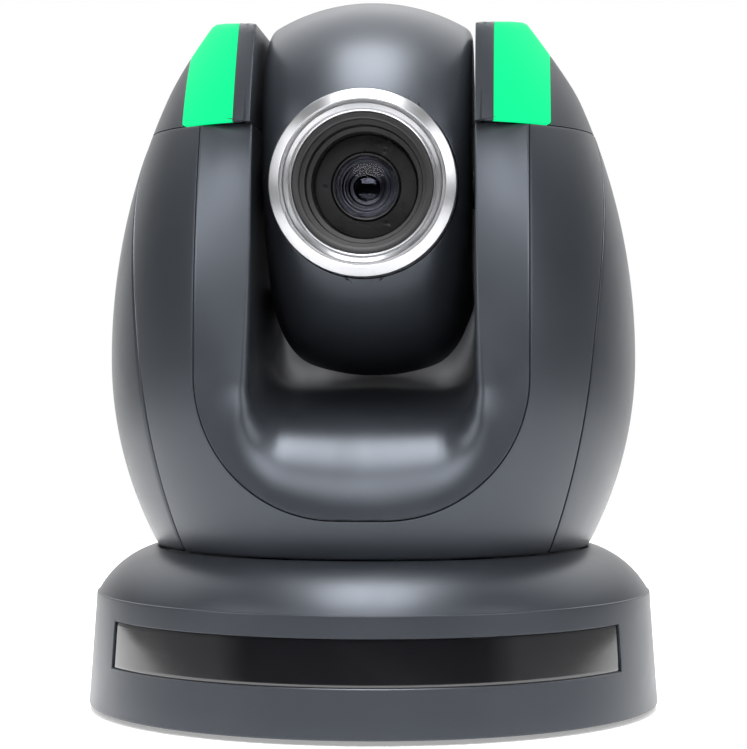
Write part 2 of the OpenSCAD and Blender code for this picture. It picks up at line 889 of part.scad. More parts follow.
module left_side_cover() {
    color(body_grey) mirror([1, 0, 0]) side_cover();
}

module right_side_cover() {
    color(body_grey) side_cover();
}

// Solid arm top on the +X side, moved inwards by inset.
module cap_form(inset) {
    x0 = slot_h + inset;
    z0 = cap_seam_z + seam / 2 - (inset > 0 ? cut : 0);
    top = arm_top_z - inset;
    run = (top - z0) / cap_slope;
    intersection() {
        turret_form(max(inset, 0.001));
        along_y(-turret_d, turret_d) polygon([
            [x0, z0], [x0, top - cap_inner_drop], [cap_peak_x, top], [cap_peak_x + run, z0]
        ]);
    }
}

// Band that the tally lens takes up, with clearance c at each edge.
module tally_band(c) {
    z0 = cap_seam_z + seam / 2 + tally_lift;
    translate([tally_x0 + c, -turret_d, z0 + c])
        cube([tally_x1 - tally_x0 - 2 * c, 2 * turret_d, turret_d]);
}

tally_led_y = 12;

module arm_cap() {
    difference() {
        cap_form(0);
        difference() {
            cap_form(cap_wall);
            // Two posts that hold the tally board.
            for (s = [-1, 1]) translate([tally_mid_x, s * 17, tally_board_z + 1.6 + fit])
                cylinder(r = 2, h = turret_d);
        }
        difference() {
            tally_band(0);
            cap_form(tally_t + fit);
        }
        for (s = [-1, 0, 1]) translate([tally_mid_x, s * tally_led_y, tally_board_z]) cylinder(r = 2.6, h = 60);
        for (s = [-1, 1]) translate([cap_peak_x, 0, cap_seam_z + 10]) rotate([s * 90, 0, 0])
            cylinder(r = 3, h = turret_d);
    }
}

module tally_lens() {
    intersection() {
        difference() {
            cap_form(0);
            cap_form(tally_t);
        }
        tally_band(0.1);
    }
}

module left_arm_cap() {
    color(body_grey) mirror([1, 0, 0]) arm_cap();
}

module right_arm_cap() {
    color(body_grey) arm_cap();
}

module left_tally_lens() {
    color(tally_green) mirror([1, 0, 0]) tally_lens();
}

module right_tally_lens() {
    color(tally_green) tally_lens();
}

module tally_boards() {
    both_sides() {
        color(board_green) translate([tally_mid_x - 6, -20, tally_board_z]) cube([12, 40, 1.6]);
        color("white") for (s = [-1, 0, 1]) translate([tally_mid_x, s * tally_led_y, tally_board_z + 1.65])
            cylinder(r = 2.2, h = 3);
    }
}

// Outline of an upright in the (y, z) plane.
module upright_outline() {
    foot = upright_half + 18;
    translate([0, tilt_z]) circle(r = upright_half);
    polygon([[-foot, turret_z0 + 0.5], [foot, turret_z0 + 0.5], [foot, 72], [upright_half, 112],
        [upright_half, tilt_z], [-upright_half, tilt_z], [-upright_half, 112], [-foot, 72]]);
}

cover_screw_r = 1.2;
cover_screw_x = upright_x + upright_t + 7;
standoff_h = 4;

// Places of the four screws that hold the covers to the floor.
module cover_screw_places() {
    r = turret_r_at(turret_z0, wall) - 6;
    turn = acos(cover_screw_x / r);
    for (a = [turn, 180 - turn, 180 + turn, 360 - turn]) rotate([0, 0, a]) translate([r, 0, 0]) children();
}

module yoke_frame() {
    standoff_r = 3;
    color(steel) {
        difference() {
            union() {
                translate([0, 0, turret_z0 + 0.5]) cylinder(r = turret_r_at(turret_z0, wall) - 0.8, h = floor_t);
                both_sides() along_x(upright_x, upright_x + upright_t) upright_outline();
                for (sx = [-1, 1], y = [26, 42])
                    translate([sx * 25, y, floor_z1 - 0.1]) cylinder(r = standoff_r, h = standoff_h);
            }
            translate([0, 0, turret_z0 - cut]) cylinder(r = hub_bore_r, h = 12);
            cover_screw_places() translate([0, 0, turret_z0]) cylinder(r = cover_screw_r + pilot_c, h = 12);
            // Bearing seats, lightening holes and the motor's hole.
            translate([0, 0, tilt_z]) bar_x(-turret_r, bush_r + fit / 2, turret_d);
            translate([0, 0, tilt_z - 33]) bar_x(-turret_r, 9, turret_d);
            translate([0, 0, tilt_motor_z]) bar_x(upright_x - cut, 6, upright_t + 2 * cut);
        }
    }
}

module turret_board() {
    z = floor_z1 + standoff_h;
    size = [64, 24, board_t];
    color(board_green) translate([-size[0] / 2, 22, z]) cube(size);
    // Two driver chips and three plug headers.
    color(black) translate([0, 0, z + board_t]) {
        translate([-20, 27, 0]) cube([12, 12, 1.6]);
        translate([4, 30, 0]) cube([9, 9, 1.6]);
        for (x = [-28, 20, 28]) translate([x - 2, 40, 0]) cube([4, 4, 6]);
    }
}

module cover_screws() {
    color(steel) cover_screw_places() translate([0, 0, floor_z1 + fit])
        screw(cover_screw_r, floor_t - 1, 2 * cover_screw_r, cover_screw_r);
}

module tilt_bushes() {
    color(brass) both_sides() translate([0, 0, tilt_z]) difference() {
        union() {
            bar_x(upright_x, bush_r, upright_t + 0.5);
            bar_x(upright_x + upright_t + fit, bush_flange_r, 1.5);
        }
        bar_x(upright_x - cut, axle_r + run_c, upright_t + 5);
    }
}

tilt_shaft_r = 2;

module tilt_motor() {
    x1 = upright_x - fit;
    plug_w = 10;
    color(dark_grey) translate([0, 0, tilt_motor_z]) {
        bar_x(x1 - tilt_motor_len, tilt_motor_r, tilt_motor_len);
        bar_x(x1 - 0.1, 5, 2);
        translate([x1 - 2 * plug_w, -plug_w / 2, -tilt_motor_r - 2]) cube([plug_w, plug_w, 4]);
    }
    color(steel) translate([0, 0, tilt_motor_z])
        bar_x(x1, tilt_shaft_r, tilt_pulley_x + tilt_pulley_w - x1 + 1);
}

module tilt_motor_pulley() {
    teeth = 16;
    color(steel) translate([tilt_pulley_x, 0, tilt_motor_z]) rotate([0, 90, 0])
        toothed_pulley(tilt_pinion_r, tilt_pulley_w, tilt_shaft_r + run_c, teeth);
}

module tilt_belt() {
    color(black) translate([tilt_pulley_x + 1.3, 0, tilt_z]) rotate([0, 90, 0])
        belt(tilt_pulley_r, tilt_pinion_r, tilt_z - tilt_motor_z, tilt_pulley_w - 2.6);
}

// ---------------------------------------------------------------- head

// Ball cut off flat at both sides, moved inwards by inset.
module head_form(inset) {
    h = head_half - inset;
    r = head_r - inset;
    translate([0, 0, tilt_z]) intersection() {
        sphere(r = r, $fn = 120);
        translate([-h, -r, -r]) cube([2 * h, 2 * r, 2 * r]);
    }
}

module head_shell() {
    difference() {
        head_form(0);
        head_form(head_wall);
        translate([0, 0, tilt_z]) bar_x(-head_r, axle_r + 0.3, head_d);
        translate([0, 0, lens_z]) bar_y(-head_r - cut, ring_r + ring_gap, head_r);
    }
}

module head_front_shell() {
    color(body_grey) difference() {
        head_shell();
        translate([-head_r, head_split_y - seam / 2, tilt_z - head_r]) cube([head_d, head_r, head_d]);
    }
}

module head_rear_shell() {
    color(body_grey) difference() {
        head_shell();
        translate([-head_r, head_split_y + seam / 2 - head_d, tilt_z - head_r]) cube([head_d, head_d, head_d]);
    }
}

// Half section of the lens ring: radius against the distance behind its front.
module bezel_section() {
    depth = ring_seat - ring_front;
    polygon([
        [bezel_bore_r, 1], [bezel_bore_r + 0.8, 0.2], [bezel_bore_r + 1.6, 0.2],
        [bezel_bore_r + 2.2, 0.9], [bezel_bore_r + 2.8, 0.9], [bezel_bore_r + 3.1, 0],
        [ring_r - 0.4, 2.8], [ring_r, 3.6], [ring_r, depth], [bezel_bore_r, depth]
    ]);
}

module bezel_rear_flange() {
    translate([0, 0, lens_z]) difference() {
        bar_y(ring_seat - fit, ring_r - 1, 2);
        bar_y(ring_seat - cut, bezel_bore_r, 5);
    }
}

module lens_bezel() {
    color(steel) {
        translate([0, ring_front, lens_z]) rotate([-90, 0, 0]) rotate_extrude($fn = 96) bezel_section();
        bezel_rear_flange();
    }
}

barrel_r = bezel_bore_r - 0.1;

module lens_barrel() {
    front = ring_front + 1.5;
    back = block_y0 - fit;
    color(black) translate([0, 0, lens_z]) difference() {
        bar_y(front, barrel_r, back - front);
        bar_y(front - cut, barrel_r - 1.8, 6.5);
        bar_y(front - cut, barrel_r - 3.4, 13);
        bar_y(front - cut, barrel_r - 4.9, retainer_y - front + cut);
        bar_y(front - cut, front_lens_r + 0.3, back - front + 2 * cut);
    }
}

module lens_retainer() {
    dimple_r = 12.3;
    color(dark_grey) translate([0, 0, lens_z]) difference() {
        bar_y(retainer_y - 1.6, barrel_r - 5, 1.55);
        bar_y(retainer_y - 3, front_lens_r + 0.2, 5);
        for (a = [0, 118, 240]) rotate([0, a, 0]) translate([-dimple_r, 0, 0])
            bar_y(retainer_y - 1.6 - cut, 0.8, cut + 0.7);
    }
}

module front_lens() {
    bulge_r = 26;
    bulge_y = retainer_y - 1.8 + bulge_r;
    color([0.1, 0.1, 0.16]) translate([0, 0, lens_z]) intersection() {
        bar_y(retainer_y - 3, front_lens_r, 6);
        translate([0, bulge_y, 0]) sphere(r = bulge_r, $fn = 96);
    }
}

module camera_block() {
    w = block_wall;
    color(dark_grey) translate([0, 0, lens_z]) difference() {
        translate([-block_half, block_y0, -block_half_z])
            cube([2 * block_half, block_y1 - block_y0, 2 * block_half_z]);
        translate([-block_half + w, block_y0 + w, -block_half_z + w])
            cube([2 * (block_half - w), block_y1 - block_y0 - 2 * w, 2 * (block_half_z - w)]);
        bar_y(block_y0 - cut, 8.2, w + 2 * cut);
    }
}

rod_z = 10;

module guide_rods() {
    inner = block_y0 + block_wall;
    color(steel) translate([0, 0, lens_z]) for (s = [-1, 1])
        translate([s * rod_x, 0, s * rod_z]) bar_y(inner + fit, rod_r, block_y1 - block_wall - inner - 2 * fit);
}

// Lens cell that slides on the two rods: glass holder and two ears.
module lens_group(y, glass_r, len) {
    color(black) translate([0, 0, lens_z]) difference() {
        union() {
            bar_y(y, glass_r + 2, len);
            for (s = [-1, 1]) translate([s * rod_x, 0, s * rod_z]) bar_y(y, rod_r + 2, len + 2);
            translate([-rod_x, y, -2.4]) cube([2 * rod_x, 2.5, 4.8]);
            for (s = [-1, 1]) translate([s * rod_x - 2, y, s > 0 ? 0 : -rod_z]) cube([4, 2.5, rod_z]);
        }
        for (s = [-1, 1]) translate([s * rod_x, 0, s * rod_z]) bar_y(y - cut, rod_r + run_c, len + 4);
        bar_y(y - cut, glass_r, len + 2 * cut);
    }
    color([0.3, 0.3, 0.4]) translate([0, 0, lens_z]) bar_y(y + 0.8, glass_r - fit, len - 1.6);
}

zoom_y = -28;
focus_y = 6;

module zoom_group() {
    lens_group(zoom_y, 7, 6);
}

module focus_group() {
    lens_group(focus_y, 6, 5);
}

module sensor_board() {
    y = block_y1 - block_wall - 3;
    color(board_green) difference() {
        translate([-16, y, lens_z - 17]) cube([32, 1.6, 34]);
        translate([0, 0, lens_z]) for (s = [-1, 1]) translate([s * rod_x, 0, s * rod_z])
            bar_y(y - cut, rod_r + 0.4, 5);
    }
    color(black) translate([-5, y - 1.2, lens_z - 4]) cube([10, 1.25, 8]);
}

module head_bracket() {
    t = bracket_t;
    b = bracket_half;
    color(steel) translate([0, 0, tilt_z]) {
        both_sides() difference() {
            translate([b - t, -18, -bracket_z - t]) cube([t, 36, 2 * bracket_z + t]);
            bar_x(b - t - cut, axle_r - 1, t + 2 * cut);
        }
        translate([-b, -18, -bracket_z - t]) cube([2 * b, 36, t]);
        for (sx = [-1, 1], y = [-12, 12])
            translate([sx * 12, y, -bracket_z - 0.1]) cylinder(r = 2.5, h = bracket_z - block_half_z - lens_drop + 0.1 - fit);
    }
}

module tilt_axles() {
    inner = bracket_half + fit;
    plate = 2;
    right_end = tilt_pulley_x + tilt_pulley_w + 1;
    left_end = upright_x + upright_t + 3;
    color(steel) translate([0, 0, tilt_z]) {
        bar_x(inner, axle_r, right_end - inner);
        bar_x(inner, bush_r, plate);
        bar_x(-left_end, axle_r, left_end - inner);
        bar_x(-inner - plate, bush_r, plate);
    }
}

module tilt_pulley() {
    teeth = 48;
    color(black) translate([tilt_pulley_x, 0, tilt_z]) rotate([0, 90, 0])
        toothed_pulley(tilt_pulley_r, tilt_pulley_w, axle_r + fit, teeth);
}

// ---------------------------------------------------------------- assembly

base_plate();
tripod_bush();
foot_pads();
base_housing();
ir_window();
ir_receiver_board();
rear_panel();
base_board();
sdi_jack();
hdmi_socket();
lan_socket();
serial_socket();
dc_jack();
dip_switch_body();
dip_lever_1();
dip_lever_2();
dip_lever_3();
dip_lever_4();
pan_carrier();
pan_bearing_outer();
pan_bearing_balls();
pan_motor();
pan_motor_pulley();
pan_belt();
base_screws();
pan_bearing_inner();
pan_hub();
pan_pulley();
hub_harness();
yoke_frame();
turret_board();
cradle();
front_cover();
rear_cover();
left_side_cover();
right_side_cover();
left_arm_cap();
right_arm_cap();
left_tally_lens();
right_tally_lens();
tally_boards();
tilt_bushes();
tilt_motor();
tilt_motor_pulley();
tilt_belt();
cover_screws();
head_front_shell();
head_rear_shell();
lens_bezel();
lens_barrel();
lens_retainer();
front_lens();
camera_block();
guide_rods();
zoom_group();
focus_group();
sensor_board();
head_bracket();
tilt_axles();
tilt_pulley();
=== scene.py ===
"""Looks of a pan, tilt and zoom camera on a flared round base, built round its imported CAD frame."""
import sys
import json
import logging
import math
from dataclasses import dataclass, field
from enum import Enum
from typing import Callable, Optional, Sequence

import bpy
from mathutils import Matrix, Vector


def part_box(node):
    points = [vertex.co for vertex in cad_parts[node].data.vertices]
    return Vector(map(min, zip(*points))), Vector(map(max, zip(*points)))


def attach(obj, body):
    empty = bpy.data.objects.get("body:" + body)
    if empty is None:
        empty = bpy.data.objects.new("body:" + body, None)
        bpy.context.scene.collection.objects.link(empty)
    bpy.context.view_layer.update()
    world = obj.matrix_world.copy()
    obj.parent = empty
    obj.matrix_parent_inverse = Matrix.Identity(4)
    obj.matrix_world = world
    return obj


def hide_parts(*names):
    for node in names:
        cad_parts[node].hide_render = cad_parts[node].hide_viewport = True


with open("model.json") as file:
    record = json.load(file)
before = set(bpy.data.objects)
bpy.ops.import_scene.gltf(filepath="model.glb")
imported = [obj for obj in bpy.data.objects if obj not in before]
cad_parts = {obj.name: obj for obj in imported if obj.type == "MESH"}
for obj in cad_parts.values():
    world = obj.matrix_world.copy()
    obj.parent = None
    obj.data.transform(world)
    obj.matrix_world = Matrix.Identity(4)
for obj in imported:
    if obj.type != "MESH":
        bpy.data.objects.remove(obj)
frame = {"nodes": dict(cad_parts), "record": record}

log = logging.getLogger("ptz_camera")
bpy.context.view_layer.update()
MM = 0.001
Obj = bpy.types.Object
Mat = bpy.types.Material
Pair = tuple[float, float]
Point = tuple[float, float, float]
Socket = bpy.types.NodeSocket
Tree = bpy.types.NodeTree
Place = Callable[[float, float], Point]


class Body(Enum):
    """Bodies that the visible pieces ride on."""

    BASE = "base"
    TURRET = "turret"
    HEAD = "head"


# ------------------------------------------------------------------ numbers


def mix(a: float, b: float, t: float) -> float:
    """Returns the value at share t of the way from a to b."""
    return a + (b - a) * t


def along(keys: Sequence[Pair], x: float) -> float:
    """Reads a smooth curve through keys.

    Args:
        keys: pairs of place and value, in rising order of place.
        x: the place to read.

    Returns:
        The value there, held flat beyond both ends.
    """
    if x <= keys[0][0]:
        return keys[0][1]
    if x >= keys[-1][0]:
        return keys[-1][1]
    i = next(k for k in range(len(keys) - 1) if x <= keys[k + 1][0])
    (x0, y0), (x1, y1) = keys[i], keys[i + 1]

    def slope(k: int) -> float:
        """Returns the curve's slope at key k."""
        a, b = max(k - 1, 0), min(k + 1, len(keys) - 1)
        return (keys[b][1] - keys[a][1]) / (keys[b][0] - keys[a][0])

    w = x1 - x0
    t = (x - x0) / w
    m0, m1 = slope(i) * w, slope(i + 1) * w
    return ((2 * t**3 - 3 * t * t + 1) * y0 + (t**3 - 2 * t * t + t) * m0
            + (3 * t * t - 2 * t**3) * y1 + (t**3 - t * t) * m1)


def halves(u: float) -> Pair:
    """Returns how far u lies from the middle, as a share, and the side that it is on."""
    return abs(2 * u - 1), (1 if u > 0.5 else -1)


def soft_min(a: float, b: float, k: float) -> float:
    """Returns the smaller of two numbers, rounded where they are within k of each other."""
    h = min(max(0.5 + 0.5 * (b - a) / k, 0.0), 1.0)
    return mix(b, a, h) - k * h * (1 - h)


def rounded(start: Vector, knee: Vector, end: Vector, pull: float, t: float) -> Vector:
    """Returns a point on a curve that bends round a corner.

    Args:
        start: where the curve starts.
        knee: the sharp corner that it rounds off.
        end: where it ends.
        pull: how far it reaches towards the corner, from 0 to 1.
        t: place along it, from 0 to 1.

    Returns:
        The point.
    """
    p1, p2 = start.lerp(knee, pull), end.lerp(knee, pull)
    return start * (1 - t) ** 3 + p1 * 3 * t * (1 - t) ** 2 + p2 * 3 * t * t * (1 - t) + end * t**3


def low(node: str) -> Vector:
    """Returns a CAD node's lowest corner in millimetres."""
    return Vector(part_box(node)[0]) / MM


def high(node: str) -> Vector:
    """Returns a CAD node's highest corner in millimetres."""
    return Vector(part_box(node)[1]) / MM


def middle(node: str) -> float:
    """Returns the height of a CAD node's middle in millimetres."""
    return (low(node).z + high(node).z) / 2


# ------------------------------------------------------------------ bench tools


def pick(obj: Obj) -> None:
    """Selects one object alone and makes it active."""
    bpy.ops.object.select_all(action="DESELECT")
    obj.select_set(True)
    bpy.context.view_layer.objects.active = obj


def edit(obj: Obj, *steps: Callable[[], object]) -> None:
    """Runs edit-mode steps on an object with all of its mesh selected.

    Args:
        obj: the object to work on.
        steps: operators to run in turn.
    """
    pick(obj)
    bpy.ops.object.mode_set(mode="EDIT")
    bpy.ops.mesh.select_all(action="SELECT")
    for step in steps:
        step()
    bpy.ops.object.mode_set(mode="OBJECT")


def weld(gap: float = 0.02) -> Callable[[], object]:
    """Returns a step that merges points closer than gap, in millimetres."""
    return lambda: bpy.ops.mesh.remove_doubles(threshold=gap * MM)


def outwards() -> object:
    """Turns all faces of a closed mesh outwards."""
    return bpy.ops.mesh.normals_make_consistent(inside=False)


def flip() -> object:
    """Turns all faces round."""
    return bpy.ops.mesh.flip_normals()


def bake(obj: Obj) -> None:
    """Applies all modifiers of an object in order."""
    pick(obj)
    for mod in list(obj.modifiers):
        bpy.ops.object.modifier_apply(modifier=mod.name)


def start(name: str, primitive: Callable[..., object], **sizes: object) -> Obj:
    """Adds a primitive with nothing else selected, and names it."""
    bpy.ops.object.select_all(action="DESELECT")
    primitive(**sizes)
    obj = bpy.context.object
    obj.name = name
    return obj


def sheet(name: str, across: int, rows: int, place: Place, inside: Point, facing: int = 1) -> Obj:
    """Lays a grid over a curved surface.

    Args:
        name: name of the new object.
        across: number of steps in u.
        rows: number of steps in v.
        place: gives the point in millimetres for u and v from 0 to 1.
        inside: a point that the faces turn away from.
        facing: 1 to face away from it, -1 to face it.

    Returns:
        The open surface, with its faces turned the right way.
    """
    obj = start(name, bpy.ops.mesh.primitive_grid_add, x_subdivisions=across, y_subdivisions=rows, size=2)
    for v in obj.data.vertices:
        v.co = Vector(place((v.co.x + 1) / 2, (v.co.y + 1) / 2)) * MM
    edit(obj, weld(), outwards)
    core = Vector(inside) * MM
    turn = sum(p.area * p.normal.dot((p.center - core).normalized()) for p in obj.data.polygons)
    if turn * facing < 0:
        edit(obj, flip)
    return obj


def spun(name: str, section: Sequence[Pair], steps: int = 128, sweep: float = 360.0, begin: float = 0.0,
         axis: str = "Z", centre: Point = (0, 0, 0)) -> Obj:
    """Spins a closed half section into a solid.

    Args:
        name: name of the new object.
        section: corners as radius and distance along the axis, in millimetres.
        steps: number of steps round.
        sweep: how far round, in degrees.
        begin: where the sweep starts, in degrees.
        axis: Z for upright turned pieces, Y for pieces round the lens axis.
        centre: a point on the axis.

    Returns:
        The closed solid.
    """
    obj = start(name, bpy.ops.mesh.primitive_circle_add, vertices=len(section), radius=1, fill_type="NOTHING")
    a = math.radians(begin)
    mid = Vector(centre)
    for v, (r, h) in zip(obj.data.vertices, section):
        flat = Vector((r * math.cos(a), r * math.sin(a), h))
        v.co = (mid + (flat if axis == "Z" else Vector((flat.x, flat.z, flat.y)))) * MM
    line = (0, 0, -1) if axis == "Z" else (0, -1, 0)
    edit(obj, lambda: bpy.ops.mesh.spin(steps=steps, angle=math.radians(sweep), center=mid * MM, axis=line))
    if sweep < 360:
        edit(obj, lambda: bpy.ops.mesh.select_all(action="DESELECT"),
             lambda: bpy.ops.mesh.select_non_manifold(), lambda: bpy.ops.mesh.edge_face_add(),
             lambda: bpy.ops.mesh.select_all(action="SELECT"))
    edit(obj, weld(0.005), lambda: bpy.ops.mesh.dissolve_degenerate(threshold=0.002 * MM), outwards)
    return obj


def block(name: str, lo: Point, hi: Point, round_by: float = 0.0, segments: int = 3) -> Obj:
    """Makes a box with rounded edges.

    Args:
        name: name of the new object.
        lo: lowest corner in millimetres.
        hi: highest corner in millimetres.
        round_by: radius of its edges in millimetres.
        segments: steps in each rounded edge.

    Returns:
        The box.
    """
    obj = start(name, bpy.ops.mesh.primitive_cube_add, size=1)
    a, b = Vector(lo), Vector(hi)
    for v in obj.data.vertices:
        v.co = Vector([mix(a[i], b[i], v.co[i] + 0.5) for i in range(3)]) * MM
    if round_by:
        edit(obj, lambda: bpy.ops.mesh.bevel(offset=round_by * MM, segments=segments, affect="EDGES"))
    return obj


def rod(name: str, r: float, ends: Pair, axis: str, at: Pair, sides: int = 48) -> Obj:
    """Makes a round bar.

    Args:
        name: name of the new object.
        r: its radius in millimetres.
        ends: where it starts and ends along the axis.
        axis: X or Y.
        at: its place in the other two directions, in their order.
        sides: facets round it.

    Returns:
        The bar.
    """
    obj = start(name, bpy.ops.mesh.primitive_cylinder_add, vertices=sides, radius=1, depth=1)
    for v in obj.data.vertices:
        h = mix(ends[0], ends[1], v.co.z + 0.5)
        across, up = at[0] + v.co.x * r, at[1] + v.co.y * r
        v.co = Vector((h, across, up) if axis == "X" else (across, h, up)) * MM
    edit(obj, outwards)
    return obj


def join(name: str, parts: Sequence[Obj]) -> Obj:
    """Joins objects into one that keeps the given name."""
    pick(parts[0])
    for part in parts:
        part.select_set(True)
    if len(parts) > 1:
        bpy.ops.object.join()
    obj = bpy.context.view_layer.objects.active
    obj.name = name
    return obj


def carve(obj: Obj, cutter: Obj, how: str = "DIFFERENCE") -> None:
    """Cuts one object with another, which is used up.

    Args:
        obj: the object that stays.
        cutter: the tool.
        how: the boolean to use.
    """
    mod = obj.modifiers.new("cut", "BOOLEAN")
    mod.operation = how
    mod.solver = "EXACT"
    mod.object = cutter
    bake(obj)
    bpy.data.objects.remove(cutter, do_unlink=True)


def thicken(obj: Obj, wall: float) -> None:
    """Gives an open surface a wall behind its faces, in millimetres."""
    mod = obj.modifiers.new("wall", "SOLIDIFY")
    mod.thickness = wall * MM
    mod.offset = -1
    mod.use_quality_normals = True
    bake(obj)


def soften(obj: Obj, width: float, sharp: float = 40.0) -> None:
    """Rounds the edges bent by more than sharp degrees, with a width in millimetres."""
    mod = obj.modifiers.new("edges", "BEVEL")
    mod.width = width * MM
    mod.segments = 2
    mod.limit_method = "ANGLE"
    mod.angle_limit = math.radians(sharp)
    mod.use_clamp_overlap = False
    bake(obj)


def smooth(obj: Obj, angle: float = 35.0) -> None:
    """Shades an object smooth up to an angle in degrees."""
    pick(obj)
    bpy.ops.object.shade_smooth_by_angle(angle=math.radians(angle))
    mod = obj.modifiers.new("normals", "WEIGHTED_NORMAL")
    mod.keep_sharp = True
    bake(obj)


def twin(obj: Obj, name: str) -> Obj:
    """Copies an object to the other side of the YZ plane, with its own mesh."""
    pick(obj)
    bpy.ops.object.duplicate()
    other = bpy.context.view_layer.objects.active
    other.name = name
    for v in other.data.vertices:
        v.co.x = -v.co.x
    edit(other, flip)
    return other


# ------------------------------------------------------------------ finishes


class Shader:
    """Builds the node tree of one material."""

    def __init__(self, name: str) -> None:
        """Starts a material with a plain principled shader."""
        self.mat: Mat = bpy.data.materials.new(name)
        self.mat.use_nodes = True
        self.tree = self.mat.node_tree
        self.main = self.tree.nodes["Principled BSDF"]
        self.coords = self.tree.nodes.new("ShaderNodeTexCoord")

    def set(self, **values: object) -> "Shader":
        """Sets constants on the shader's own sockets, with _ for a space."""
        for key, value in values.items():
            self.main.inputs[key.replace("_", " ")].default_value = value
        return self

    def add(self, kind: str, **links: object) -> bpy.types.Node:
        """Adds a node.

        Args:
            kind: node type without its ShaderNode prefix.
            links: attributes of the node, or inputs by name with _ for a space, given a value or a socket.

        Returns:
            The node.
        """
        return add_node(self.tree, kind, **links)

    def use(self, tree: Tree, **links: object) -> bpy.types.Node:
        """Places a shared effect in this material."""
        node = self.tree.nodes.new("ShaderNodeGroup")
        node.node_tree = tree
        wire(self.tree, node, links)
        return node

    def blend(self, mask: Socket, dark: object, pale: object) -> Socket:
        """Mixes two colours, each given as a value or a socket, by a mask."""
        return self.add("Mix", data_type="RGBA", i0=mask, i6=dark, i7=pale).outputs[2]

    def feed(self, **links: Socket) -> "Shader":
        """Links sockets to the shader's inputs."""
        for key, socket in links.items():
            self.tree.links.new(socket, self.main.inputs[key.replace("_", " ")])
        return self

    def bump(self, height: Socket, depth: float) -> "Shader":
        """Turns a height into the shader's normal, with its depth in millimetres."""
        node = self.add("Bump", Strength=1.0, Distance=depth * MM, Height=height)
        return self.feed(Normal=node.outputs["Normal"])


def wire(tree: Tree, node: bpy.types.Node, links: dict[str, object]) -> None:
    """Sets or links a node's inputs by name."""
    for key, value in links.items():
        name = key.replace("_", " ")
        socket = node.inputs[int(name[1:])] if name[0] == "i" and name[1:].isdigit() else node.inputs[name]
        if isinstance(value, Socket):
            tree.links.new(value, socket)
        else:
            socket.default_value = value


def add_node(tree: Tree, kind: str, **links: object) -> bpy.types.Node:
    """Adds a node to a tree, with attributes in lower case and inputs by name."""
    node = tree.nodes.new("ShaderNode" + kind)
    for key in [k for k in links if k[0].islower() and not (k[0] == "i" and k[1:].isdigit())]:
        setattr(node, key, links.pop(key))
    wire(tree, node, links)
    return node


def sums(tree: Tree, operation: str, *values: object) -> Socket:
    """Adds a maths node for numbers or sockets in turn and returns its result."""
    links = {f"i{k}": v for k, v in enumerate(values)}
    return add_node(tree, "Math", operation=operation, **links).outputs[0]


def remap(tree: Tree, value: Socket, *ends: float) -> Socket:
    """Maps a value from one range to another, 0 to 1 if not given, and clamps it."""
    links = {f"i{k}": v for k, v in enumerate(ends, 1)}
    return add_node(tree, "MapRange", Value=value, **links).outputs[0]


def tone(colour: Point, times: float = 1.0) -> tuple:
    """Returns an opaque colour, made brighter or darker."""
    return tuple(c * times for c in colour) + (1,)


def group(name: str, inputs: dict[str, float], outputs: Sequence[str]) -> tuple:
    """Starts a shared effect.

    Args:
        name: name of the node group.
        inputs: its inputs and their usual values.
        outputs: its outputs.

    Returns:
        The group, its input node and its output node.
    """
    tree = bpy.data.node_groups.new(name, "ShaderNodeTree")
    for key, value in inputs.items():
        tree.interface.new_socket(key, in_out="INPUT", socket_type="NodeSocketFloat").default_value = value
    for key in outputs:
        tree.interface.new_socket(key, in_out="OUTPUT", socket_type="NodeSocketFloat")
    return tree, tree.nodes.new("NodeGroupInput"), tree.nodes.new("NodeGroupOutput")


